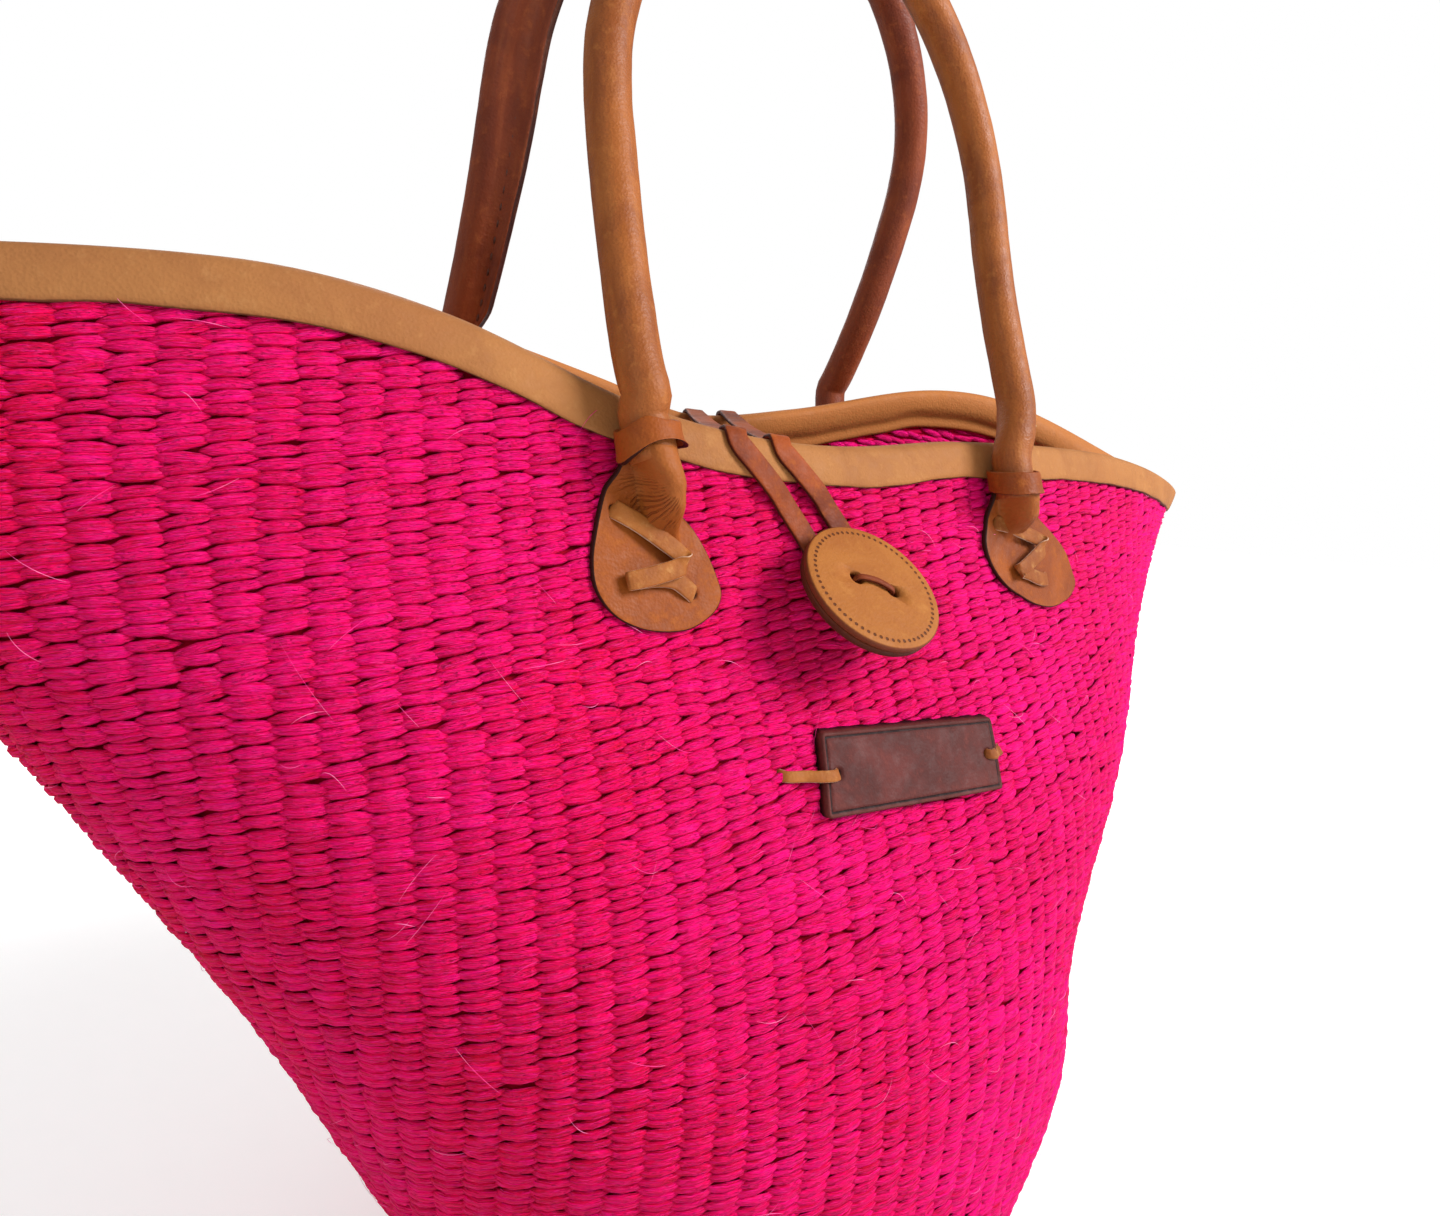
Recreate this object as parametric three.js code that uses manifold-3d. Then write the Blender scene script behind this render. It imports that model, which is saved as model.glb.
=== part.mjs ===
// Kiondo basket: a woven sisal tote with rolled leather handles, in millimetres.
// +X runs to the right-hand end, -Y is the front and +Z is up; the origin is the middle of the base.
import * as THREE from 'three';
import { mergeVertices } from 'three/addons/utils/BufferGeometryUtils.js';
import Module from 'manifold-3d';

const wasm = await Module();
wasm.setup();

// Woven body
const basketHeight = 280;
const mouthHalfLength = 265;
const mouthHalfDepth = 51;
const baseHalfLength = 104;
const baseHalfDepth = 102;
const weaveThickness = 5;
const floorThickness = 6;
const baseEdgeRadius = 10;
const rimPlaitThickness = 8;
const rimPlaitHeight = 9;

// From base to mouth: how far the section has gone from the base's size to the mouth's
const sectionRiseShares = [0, 0.2, 0.38, 0.6, 0.8, 1];
const lengthShares = { left: [0, 0.2, 0.38, 0.64, 0.88, 1], right: [0, 0.24, 0.2, 0.56, 0.81, 1] };
const depthShares = [0, -0.12, -0.16, 0.13, 0.65, 1];
// The section is a round at the base and comes to a point at both ends of the mouth
const baseRoundness = 2;
const mouthSideRoundness = 2.6;
const mouthEndRoundness = 1;
const pointingStartShare = 0.35;
const mouthEndThicknessShare = 2;

// The rim rises and falls along the mouth: heights above the middle of the front
const rimPlaceShares = [-1, -0.66, -0.5, -0.3, -0.15, 0, 0.2, 0.5, 0.7, 1];
const frontRimRises = [24, 30, 24, 7, 0.5, 0, 5, 7, 4.5, -3];
const rearRimRises = [24, 33, 38, 29, 21, 12, 18, 33, 29, -3];

// Leather, and the room that a piece keeps to its neighbour
const seatGap = 0.3;
const bindingLeather = 1.7;
const foldShare = 0.35;
const plaitSlopeShare = 1.6;
const bindingDrop = 10.3;
const bindingInnerDrop = 15;

// Handles
const handleTubeRadius = 6.5;
const handleBoreRadius = 4.8;
const ropeRadius = 4.4;
const handleHeight = 165;
const handleShoulderShare = 0.5;
const coverSides = 14;
const boreSides = 10;
const ropeSides = 10;
const handleSeamLength = 3;
const handleSeamLip = 1.5;
const handleSeamGap = 0.5;
const hingeRise = 5;
const handleOverrun = 6;
const legPathShare = 0.2;
const ropeEndInset = 1.5;
const frontHandle = {
  side: -1,
  middle: -6.9,
  spacing: 152.2,
  lean: 23.5,
  bow: 31,
  tabs: { left: { lean: 6.5, halfWidth: 18.4 }, right: { lean: 16.8, halfWidth: 21 } },
};
const rearHandle = {
  side: 1,
  middle: -1.5,
  spacing: 172.7,
  lean: 34,
  bow: 52,
  tabs: { left: { lean: 5, halfWidth: 19 }, right: { lean: -5, halfWidth: 19 } },
};

// Tabs at the handle ends
const tabDrop = 57;
const tabLeather = 2.2;
const tabSway = 3;
const tabTipWidth = 2.5;
const tabNeckShare = 0.24;
const tabWidestShare = 0.68;
const tabTubeShare = 0.53;
const tabSettleShare = 0.4;
const tabOpeningPower = 0.5;
const tabFootShare = 0.92;
const tabStationShares = [0, 0.12, 0.24, 0.3, 0.36, 0.42, 0.49, 0.56, 0.62, 0.68, 0.76, 0.84, 0.91, 0.96, 0.99];
const tabSectionShares = [1, 0.8, 0.45, 0, -0.45, -0.8, -1];

// Bands round the handle legs
const keeperHeight = 8;
const keeperLeather = 1.5;
const keeperDrop = 4;
const keeperSides = 16;

// Lacing thongs of the tabs
const thongWidth = 4.6;
const thongLeather = 1.4;
const thongRoom = 0.45;
const thongEndShare = 0.8;
const layerOverlap = 0.2;
// Slit, two folds and slit: place across a tab as a share of its half width, place down it as a share of its drop
const thongPlaceShares = [[-0.42, 0.53], [0.53, 0.65], [-0.44, 0.81], [0.62, 0.85]];

// Closure loop
const closureRearX = 15;
const closureFrontX = -40;
const closureLegSpacing = 16;
const closureWidth = 7;
const closureLeather = 1.8;
const closureSlitDrop = 26;
const closureTail = 9;
const closureRoom = 0.9;
const closureSag = 3;
const closureStepDrop = 7;
const closureTurnSteps = 8;
const closureTurnLift = 0.5;
const closureTurnDrop = 6;
const closureRestShares = [0.35, 0.7];
const closureSpanSteps = 6;

// Button
const buttonX = -12;
const buttonRadius = 22;
const buttonLeather = 2.2;
const buttonDrop = 45.5;
const buttonStandoff = 13;
const buttonTopple = 18;
const buttonSides = 48;
const buttonHoleSpacing = 12;
const buttonHoleRadius = 2;
const buttonHoleSides = 12;
const buttonHoleTurn = 27;
const buttonThongWidth = 2.6;
const buttonThongLeather = 1.3;
const buttonThongSlack = 0.5;
const buttonNeckRoom = 3;
const buttonNeckWidth = closureLegSpacing - closureWidth - buttonNeckRoom;
const buttonKnotLength = 13;
const buttonKnotSlack = 1.4;

// Label
const labelX = -1.2;
const labelDrop = 89.4;
const labelLength = 69;
const labelHeight = 21.3;
const labelLeather = 2.8;
const labelSteps = 8;
const labelHoleInset = 5;
const labelThongWidth = 3.2;
const labelThongLeather = 1.4;
const labelStitches = { left: 13, right: 8 };
const stitchEdgeRoom = 1;
// A strap's part in a slot is this much slimmer than its part outside
const pegTrim = 0.15;

// Fineness
const baseEdgeShares = [0, 0.5, 1];
const wallLevelShares = [0.1, 0.2, 0.3, 0.4, 0.49, 0.57, 0.64, 0.7, 0.76, 0.82, 0.87, 0.91, 0.95, 1];
const quarterStations = 18;
const quarterSearchRounds = 30;
const placeSearchRounds = 4;
const stationEvening = 0.75;
const handleSteps = 26;
const cutOverrun = 3;
const mergeDistance = 0.0001;

// Leather and fibre colours
const weaveColour = 0xe80e61;
const bindingColour = 0xcd8d57;
const handleColour = 0xb46937;
const tabColour = 0xa35628;
const strapColour = 0xb5502c;
const buttonColour = 0xca8243;
const labelColour = 0x6c3c3b;
const thongColour = 0xc08a55;
const ropeColour = 0xd8c7a0;
const leatherRoughness = 0.55;
const fibreRoughness = 0.85;

const degrees = Math.PI / 180;
const front = -1;
const rear = 1;
const ends = { left: -1, right: 1 };
// Out of the wall: room for the binding and for a keeper band behind the handle's leg
const tabBackOut = seatGap + bindingLeather + seatGap + keeperLeather + seatGap;

// Cubic curve through a table of values
function curveThrough(places, values, place) {
  const last = places.length - 1;
  const at = THREE.MathUtils.clamp(place, places[0], places[last]);
  let i = 0;
  while (i < last - 1 && at > places[i + 1]) i += 1;
  const slopeAt = (j) => {
    const before = Math.max(j - 1, 0);
    const after = Math.min(j + 1, last);
    return (values[after] - values[before]) / (places[after] - places[before]);
  };
  const span = places[i + 1] - places[i];
  const t = (at - places[i]) / span;
  const rise = values[i + 1] - values[i];
  const startPull = slopeAt(i) * span - rise;
  const endPull = rise - slopeAt(i + 1) * span;
  return values[i] + t * rise + t * (1 - t) * ((1 - t) * startPull + t * endPull);
}

// Size and roundness of the outer wall's level section, from base (0) to mouth (1)
function sectionAt(rise, end) {
  const share = THREE.MathUtils.clamp(rise, 0, 1);
  const pointing = Math.max((share - pointingStartShare) / (1 - pointingStartShare), 0);
  const lengthShare = curveThrough(sectionRiseShares, end < 0 ? lengthShares.left : lengthShares.right, share);
  const depthShare = curveThrough(sectionRiseShares, depthShares, share);
  return {
    pointing,
    halfLength: THREE.MathUtils.lerp(baseHalfLength, mouthHalfLength, lengthShare),
    halfDepth: THREE.MathUtils.lerp(baseHalfDepth, mouthHalfDepth, depthShare),
    sideRoundness: THREE.MathUtils.lerp(baseRoundness, mouthSideRoundness, share),
    endPower: 1 / THREE.MathUtils.lerp(baseRoundness, mouthEndRoundness, pointing),
    endThickness: THREE.MathUtils.lerp(1, mouthEndThicknessShare, pointing),
  };
}

// Share of the half length that a wall station lies at: the stations even out towards the mouth
function lengthShareOf(quarter, pointing) {
  return THREE.MathUtils.lerp(Math.cos(quarter * Math.PI / 2), 1 - quarter, stationEvening * pointing);
}

function quarterOf(lengthShare, pointing) {
  let low = 0;
  let high = 1;
  for (let round = 0; round < quarterSearchRounds; round += 1) {
    const middle = (low + high) / 2;
    if (lengthShareOf(middle, pointing) > lengthShare) low = middle;
    else high = middle;
  }
  return (low + high) / 2;
}

function rimHeight(side, quarter, end) {
  const rises = side === front ? frontRimRises : rearRimRises;
  return basketHeight + curveThrough(rimPlaceShares, rises, end * lengthShareOf(quarter, 1));
}

// A point of the wall: side front or rear, end -1 left or 1 right, quarter 0 at the end and 1 mid-side
function wallPoint(side, end, quarter, rise, inset) {
  const section = sectionAt(rise, end);
  const share = lengthShareOf(quarter, section.pointing);
  const x = end * share * (section.halfLength - inset * section.endThickness);
  const depth = Math.pow(Math.max(1 - Math.pow(share, section.sideRoundness), 0), section.endPower);
  return new THREE.Vector3(x, side * depth * (section.halfDepth - inset), rise * rimHeight(side, quarter, end));
}

// The same wall by place: x along the basket, drop below the rim and distance out of the wall
function wallAt(side, x, drop, out) {
  let quarter = 1;
  let rise = 1;
  let share = 0;
  const end = x < 0 ? -1 : 1;
  let section = sectionAt(rise, end);
  let rim = basketHeight;
  for (let round = 0; round < placeSearchRounds; round += 1) {
    rim = rimHeight(side, quarter, end);
    rise = 1 - drop / rim;
    section = sectionAt(rise, end);
    share = Math.min(Math.abs(x) / (section.halfLength + out * section.endThickness), 1);
    quarter = quarterOf(share, section.pointing);
  }
  const depth = Math.pow(Math.max(1 - Math.pow(share, section.sideRoundness), 0), section.endPower);
  return new THREE.Vector3(x, side * depth * (section.halfDepth + out), rim - drop);
}

function wallNormal(side, x, drop) {
  const step = weaveThickness;
  const along = wallAt(side, x + step, drop, 0).sub(wallAt(side, x - step, drop, 0));
  const down = wallAt(side, x, drop + step, 0).sub(wallAt(side, x, drop - step, 0));
  return along.cross(down).normalize().multiplyScalar(side);
}

// Solids from lists of points
function solidGeometry(points, triangles) {
  let volume = 0;
  for (const [a, b, c] of triangles) {
    volume += points[a].dot(new THREE.Vector3().crossVectors(points[b], points[c]));
  }
  const geometry = new THREE.BufferGeometry();
  geometry.setAttribute('position', new THREE.Float32BufferAttribute(points.flatMap((p) => p.toArray()), 3));
  geometry.setIndex(triangles.flatMap(([a, b, c]) => (volume > 0 ? [a, b, c] : [a, c, b])));
  geometry.computeVertexNormals();
  return geometry;
}

function middleOf(points) {
  return points.reduce((sum, p) => sum.add(p), new THREE.Vector3()).divideScalar(points.length);
}

// Skin over a row of closed sections; the row closes on itself or ends in two caps
function loft(sections, closed) {
  const count = sections[0].length;
  const points = sections.flat();
  const triangles = [];
  const rows = closed ? sections.length : sections.length - 1;
  for (let row = 0; row < rows; row += 1) {
    const here = row * count;
    const next = ((row + 1) % sections.length) * count;
    for (let i = 0; i < count; i += 1) {
      const j = (i + 1) % count;
      triangles.push([here + i, here + j, next + j], [here + i, next + j, next + i]);
    }
  }
  if (!closed) {
    const last = (sections.length - 1) * count;
    const startMiddle = points.push(middleOf(sections[0])) - 1;
    const endMiddle = points.push(middleOf(sections[sections.length - 1])) - 1;
    for (let i = 0; i < count; i += 1) {
      const j = (i + 1) % count;
      triangles.push([startMiddle, j, i], [endMiddle, last + i, last + j]);
    }
  }
  return solidGeometry(points, triangles);
}

function solidOf(geometry) {
  const bare = geometry.clone();
  for (const name of Object.keys(bare.attributes)) {
    if (name !== 'position') bare.deleteAttribute(name);
  }
  const merged = mergeVertices(bare, mergeDistance);
  const mesh = new wasm.Mesh({
    numProp: 3,
    vertProperties: new Float32Array(merged.attributes.position.array),
    triVerts: new Uint32Array(merged.index.array),
  });
  return new wasm.Manifold(mesh);
}

function geometryOf(solid) {
  const mesh = solid.getMesh();
  const geometry = new THREE.BufferGeometry();
  geometry.setAttribute('position', new THREE.BufferAttribute(new Float32Array(mesh.vertProperties), 3));
  geometry.setIndex(new THREE.BufferAttribute(new Uint32Array(mesh.triVerts), 1));
  geometry.computeVertexNormals();
  return geometry;
}

function joined(geometries) {
  return geometryOf(geometries.map(solidOf).reduce((sum, solid) => sum.add(solid)));
}

function cut(geometry, cutters) {
  return geometryOf(cutters.map(solidOf).reduce((rest, cutter) => rest.subtract(cutter), solidOf(geometry)));
}

// A strap laid on the wall from place to place; each place is { x, drop, out } at the strap's underside
function wallStrap(side, places, width, thickness) {
  const sections = places.map((place, i) => {
    const before = places[Math.max(i - 1, 0)];
    const after = places[Math.min(i + 1, places.length - 1)];
    const run = new THREE.Vector2(after.x - before.x, after.drop - before.drop).normalize();
    const reach = width / 2;
    const corner = (sign, lift) => wallAt(
      side,
      place.x - sign * reach * run.y,
      place.drop + sign * reach * run.x,
      place.out + lift,
    );
    return [corner(-1, 0), corner(1, 0), corner(1, thickness), corner(-1, thickness)];
  });
  return loft(sections, false);
}

// A straight peg or slot through the wall
function wallPeg(side, place, length, height, fromOut, toOut) {
  const section = (out) => [[-1, -1], [1, -1], [1, 1], [-1, 1]].map(([i, j]) => wallAt(
    side,
    place.x + i * length / 2,
    place.drop + j * height / 2,
    out,
  ));
  return loft([section(fromOut), section(toOut)], false);
}

// A strap through free space: each stop has a point and the direction that its face looks in
function ribbon(stops, width, thickness) {
  const sections = stops.map((stop, i) => {
    const before = stops[Math.max(i - 1, 0)].point;
    const after = stops[Math.min(i + 1, stops.length - 1)].point;
    const along = after.clone().sub(before).normalize();
    const across = along.clone().cross(stop.face).normalize().multiplyScalar(width / 2);
    const up = across.clone().cross(along).normalize().multiplyScalar(thickness / 2);
    return [[-1, -1], [1, -1], [1, 1], [-1, 1]].map(([i, j]) => stop.point.clone()
      .addScaledVector(across, i)
      .addScaledVector(up, j));
  });
  return loft(sections, false);
}

// A level ring of wall points, counter-clockwise from the right-hand end; heightOf gives z for a column's rim height
function wallRing(inset, riseOf) {
  const ring = [];
  for (const [side, end, upwards] of [[rear, 1, true], [rear, -1, false], [front, -1, true], [front, 1, false]]) {
    for (let i = 0; i < quarterStations; i += 1) {
      const quarter = (upwards ? i : quarterStations - i) / quarterStations;
      const rim = rimHeight(side, quarter, end);
      ring.push(wallPoint(side, end, quarter, riseOf(rim), inset));
    }
  }
  return ring;
}

function wovenBody() {
  const rings = [];
  for (const share of baseEdgeShares) {
    const angle = share * Math.PI / 2;
    const height = baseEdgeRadius * (1 - Math.cos(angle));
    rings.push(wallRing(baseEdgeRadius * (1 - Math.sin(angle)), (rim) => height / rim));
  }
  for (const share of wallLevelShares) rings.push(wallRing(0, () => share));
  rings.push(wallRing(rimPlaitThickness, () => 1));
  rings.push(wallRing(rimPlaitThickness, (rim) => 1 - rimPlaitHeight / rim));
  rings.push(wallRing(weaveThickness, (rim) => 1 - rimPlaitHeight * plaitSlopeShare / rim));
  for (const share of wallLevelShares.slice(0, -2).reverse()) rings.push(wallRing(weaveThickness, () => share));
  rings.push(wallRing(weaveThickness + baseEdgeRadius, (rim) => floorThickness / rim));
  return cut(loft(rings, false), wallSlots());
}

// One leather strip folded over the plaited edge, with a bead along its inner side
function rimBinding() {
  const outer = seatGap + bindingLeather;
  const inner = rimPlaitThickness + seatGap;
  const innerFlap = weaveThickness + seatGap;
  const plaitFoot = rimPlaitHeight + seatGap;
  const outline = [
    [seatGap, bindingDrop],
    [outer, bindingDrop],
    [outer, seatGap],
    [outer - bindingLeather * foldShare, -outer],
    [-inner - bindingLeather * foldShare, -outer],
    [-inner - bindingLeather, seatGap],
    [-inner - bindingLeather, plaitFoot],
    [-innerFlap - bindingLeather, rimPlaitHeight * plaitSlopeShare + seatGap],
    [-innerFlap - bindingLeather, bindingInnerDrop],
    [-innerFlap, bindingInnerDrop],
    [-innerFlap, rimPlaitHeight * plaitSlopeShare + seatGap],
    [-inner, plaitFoot],
    [-inner, -seatGap],
    [seatGap, -seatGap],
  ];
  const rings = outline.reverse().map(([out, drop]) => wallRing(-out, (rim) => 1 - drop / rim));
  const sections = rings[0].map((_, i) => rings.map((ring) => ring[i]));
  return loft(sections, true);
}

function legX(handle, hand) {
  return handle.middle + ends[hand] * handle.spacing / 2;
}

// Where a handle turns: a line along the outside of its two legs, just above the rim
function hingeOf(handle) {
  const feet = Object.keys(ends).map((hand) => wallAt(handle.side, legX(handle, hand), 0, tabBackOut));
  const y = handle.side * (Math.max(...feet.map((foot) => Math.abs(foot.y))) + 2 * handleTubeRadius);
  return new THREE.Vector3(handle.middle, y, Math.max(...feet.map((foot) => foot.z)) + hingeRise);
}

// Two legs joined by an arch, from the left hinge to the right one; the handle bows outwards as it rises
class HandlePath extends THREE.Curve {
  constructor(handle) {
    super();
    this.halfSpan = handle.spacing / 2;
    this.bow = handle.side * handle.bow;
  }

  getPoint(t, target = new THREE.Vector3()) {
    const legHeight = handleHeight * (1 - handleShoulderShare);
    const archHeight = handleHeight - legHeight;
    const fromEnd = Math.min(t, 1 - t);
    const angle = Math.PI * (t - legPathShare) / (1 - 2 * legPathShare);
    const onLeg = fromEnd < legPathShare;
    const x = onLeg ? Math.sign(t - 1 / 2) * this.halfSpan : -this.halfSpan * Math.cos(angle);
    const z = onLeg
      ? THREE.MathUtils.lerp(-handleOverrun, legHeight, fromEnd / legPathShare)
      : legHeight + archHeight * Math.sin(angle);
    return target.set(x, this.bow * (Math.max(z, 0) / handleHeight) ** 2, z);
  }
}

function arcPoints(radius, from, to, count) {
  const points = [];
  for (let i = 0; i <= count; i += 1) {
    const angle = THREE.MathUtils.lerp(from, to, i / count);
    points.push(new THREE.Vector2(radius * Math.cos(angle), radius * Math.sin(angle)));
  }
  return points;
}

function sweptAlongHandle(outline, handle) {
  const swept = new THREE.ExtrudeGeometry(new THREE.Shape(outline), {
    steps: handleSteps,
    extrudePath: new HandlePath(handle),
    bevelEnabled: false,
    curveSegments: 1,
  });
  const bare = mergeVertices(swept.deleteAttribute('normal').deleteAttribute('uv'), mergeDistance);
  const position = bare.attributes.position;
  const points = [];
  for (let i = 0; i < position.count; i += 1) {
    points.push(new THREE.Vector3().fromBufferAttribute(position, i));
  }
  const triangles = [];
  for (let i = 0; i < bare.index.count; i += 3) {
    triangles.push([bare.index.getX(i), bare.index.getX(i + 1), bare.index.getX(i + 2)]);
  }
  return solidGeometry(points, triangles);
}

// The handle's own frame stands on its hinge and leans with it; both ends are cut level with the tabs
function levelEnds(geometry, handle, rise) {
  const size = 2 * (handle.spacing + handleHeight);
  const below = new THREE.BoxGeometry(size, size, size);
  below.translate(0, 0, rise - size / 2);
  below.rotateX(-handle.side * handle.lean * degrees);
  return cut(geometry, [below]);
}

// Leather rolled round the rope, with its two edges standing as a seam towards the other handle
function gripCover(handle) {
  const lip = handleSeamLip + handleSeamGap / 2;
  const lipAngle = Math.asin(lip / handleTubeRadius);
  const slotAngle = Math.asin(handleSeamGap / 2 / handleBoreRadius);
  const tip = handleTubeRadius + handleSeamLength;
  const outline = [
    ...arcPoints(handleTubeRadius, lipAngle, 2 * Math.PI - lipAngle, coverSides),
    new THREE.Vector2(tip, -lip),
    new THREE.Vector2(tip, -handleSeamGap / 2),
    ...arcPoints(handleBoreRadius, 2 * Math.PI - slotAngle, slotAngle, boreSides),
    new THREE.Vector2(tip, handleSeamGap / 2),
    new THREE.Vector2(tip, lip),
  ].map((p) => new THREE.Vector2(handle.side * p.x, p.y));
  const cover = sweptAlongHandle(outline, handle);
  cover.translate(0, -handle.side * handleTubeRadius, 0);
  return levelEnds(cover, handle, seatGap / 2);
}

function gripCore(handle) {
  const core = sweptAlongHandle(arcPoints(ropeRadius, 0, 2 * Math.PI, ropeSides).slice(1), handle);
  core.translate(0, -handle.side * handleTubeRadius, 0);
  return levelEnds(core, handle, ropeEndInset);
}

// The handle's leather below the hinge: still rolled at the top, then opened flat into a teardrop on the wall
function tabHalfWidthAt(fullHalfWidth, drop) {
  const widest = tabDrop * tabWidestShare;
  const neck = tabDrop * tabNeckShare;
  if (drop > widest) {
    const past = (drop - widest) / (tabDrop - widest);
    return fullHalfWidth * Math.sqrt(Math.max(1 - past * past, 0));
  }
  const opening = THREE.MathUtils.smootherstep(drop, neck, widest);
  return THREE.MathUtils.lerp(handleTubeRadius, fullHalfWidth, Math.pow(opening, tabOpeningPower));
}

// A tab's middle line sways away from the leg and comes back to its tip
function tabMiddle(handle, hand, drop) {
  const neck = tabDrop * tabNeckShare;
  const share = THREE.MathUtils.clamp((drop - neck) / (tabDrop - neck), 0, 1);
  const sway = -handle.side * tabSway * Math.sin(Math.PI * share);
  return legX(handle, hand) + handle.tabs[hand].lean * share - sway;
}

function tabSection(handle, hand, drop, back) {
  const neck = tabDrop * tabNeckShare;
  const tubeHalfWidth = handleTubeRadius * tabFootShare;
  const footHeight = Math.sqrt(handleTubeRadius ** 2 - tubeHalfWidth ** 2);
  const roundness = 1 - THREE.MathUtils.smoothstep(drop, neck, tabDrop * tabSettleShare);
  const swell = 1 - THREE.MathUtils.smoothstep(drop, neck, tabDrop * tabTubeShare);
  const halfWidth = Math.max(tabHalfWidthAt(handle.tabs[hand].halfWidth, drop), tabTipWidth);
  const tubeWidth = Math.min(tubeHalfWidth, halfWidth * tabFootShare);
  const middle = tabMiddle(handle, hand, drop);
  const frontOut = (share) => {
    const height = Math.sqrt(handleTubeRadius ** 2 - (share * tubeHalfWidth) ** 2);
    const bumpShare = (height - footHeight) / (handleTubeRadius - footHeight);
    const bump = tabLeather + (2 * handleTubeRadius - tabLeather) * swell * bumpShare;
    return THREE.MathUtils.lerp(bump, handleTubeRadius + height, roundness);
  };
  const edgeFront = THREE.MathUtils.lerp(tabLeather, handleTubeRadius + seatGap, roundness);
  const edgeBack = roundness * (handleTubeRadius - seatGap);
  const backOut = (share) => {
    return roundness * (handleTubeRadius - Math.sqrt(handleTubeRadius ** 2 - (share * tubeHalfWidth) ** 2));
  };
  const at = (u, out) => wallAt(handle.side, middle + u, drop, back + out);
  return [
    at(-halfWidth, edgeBack),
    ...tabSectionShares.map((share) => at(-share * tubeWidth, backOut(share))),
    at(halfWidth, edgeBack),
    at(halfWidth, edgeFront),
    ...tabSectionShares.map((share) => at(share * tubeWidth, frontOut(share))),
    at(-halfWidth, edgeFront),
  ];
}

function handleTab(handle, hand) {
  const hinge = hingeOf(handle);
  const rim = wallAt(handle.side, legX(handle, hand), 0, 0).z;
  const bandFoot = tabDrop * tabNeckShare;
  const drops = [rim - hinge.z - handleOverrun, ...tabStationShares.map((share) => share * tabDrop)];
  const sections = drops.map((drop) => {
    const settled = THREE.MathUtils.smoothstep(drop, bandFoot, tabDrop * tabSettleShare);
    return tabSection(handle, hand, drop, THREE.MathUtils.lerp(tabBackOut, seatGap, settled));
  });
  const size = 2 * handle.spacing;
  const above = new THREE.BoxGeometry(size, size, size);
  above.translate(hinge.x, hinge.y, hinge.z + size / 2 - seatGap / 2);
  return cut(loft(sections, false), [above, ...thongSlots(handle, hand)]);
}

// A band of leather round each leg, between the leg and the binding
function keeperBand(handle, hand) {
  const x = legX(handle, hand);
  const ringAt = (drop, grown) => {
    const ring = [];
    for (let i = 0; i < keeperSides; i += 1) {
      const angle = 2 * Math.PI * i / keeperSides;
      const radius = handleTubeRadius + seatGap + grown;
      const out = tabBackOut + handleTubeRadius + radius * Math.cos(angle);
      ring.push(wallAt(handle.side, x + radius * Math.sin(angle), drop, out));
    }
    return ring;
  };
  const foot = keeperDrop + keeperHeight;
  const corners = [[keeperDrop, 0], [foot, 0], [foot, keeperLeather], [keeperDrop, keeperLeather]];
  const rings = corners.map(([drop, grown]) => ringAt(drop, grown));
  return loft(rings[0].map((_, i) => rings.map((ring) => ring[i])), true);
}

// The thong's four places on a tab, from one slit over two folds to the other slit
function thongPlaces(handle, hand) {
  return thongPlaceShares.map(([across, down]) => ({
    x: tabMiddle(handle, hand, down * tabDrop) - handle.side * across * handle.tabs[hand].halfWidth,
    drop: down * tabDrop,
  }));
}

function thongPeg(handle, place, grown, fromOut, toOut) {
  return wallPeg(handle.side, place, thongLeather + 2 * grown, thongWidth + 2 * grown, fromOut, toOut);
}

function thongSlots(handle, hand) {
  const [start, , , end] = thongPlaces(handle, hand);
  const inside = -weaveThickness - cutOverrun;
  const outside = tabLeather + handleTubeRadius;
  return [start, end].map((place) => thongPeg(handle, place, seatGap, inside, outside));
}

function lacingThong(handle, hand) {
  const low = seatGap + tabLeather + thongRoom;
  const high = low + thongLeather;
  const [start, fold, turn, end] = thongPlaces(handle, hand);
  const strap = (from, to, out) => {
    const reach = (thongWidth / 2) / Math.hypot(to.x - from.x, to.drop - from.drop);
    const place = (share) => ({
      x: THREE.MathUtils.lerp(from.x, to.x, share),
      drop: THREE.MathUtils.lerp(from.drop, to.drop, share),
      out,
    });
    const past = reach * thongEndShare;
    return wallStrap(handle.side, [place(-past), place(1 / 2), place(1 + past)], thongWidth, thongLeather);
  };
  const inner = -weaveThickness - seatGap - thongLeather;
  const pegs = [start, end].map((place) => thongPeg(handle, place, -pegTrim, inner + pegTrim, high - pegTrim));
  const inside = strap(start, end, inner);
  const over = strap(fold, turn, high - layerOverlap);
  return joined([strap(start, fold, low), strap(turn, end, low), over, ...pegs, inside]);
}

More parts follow.
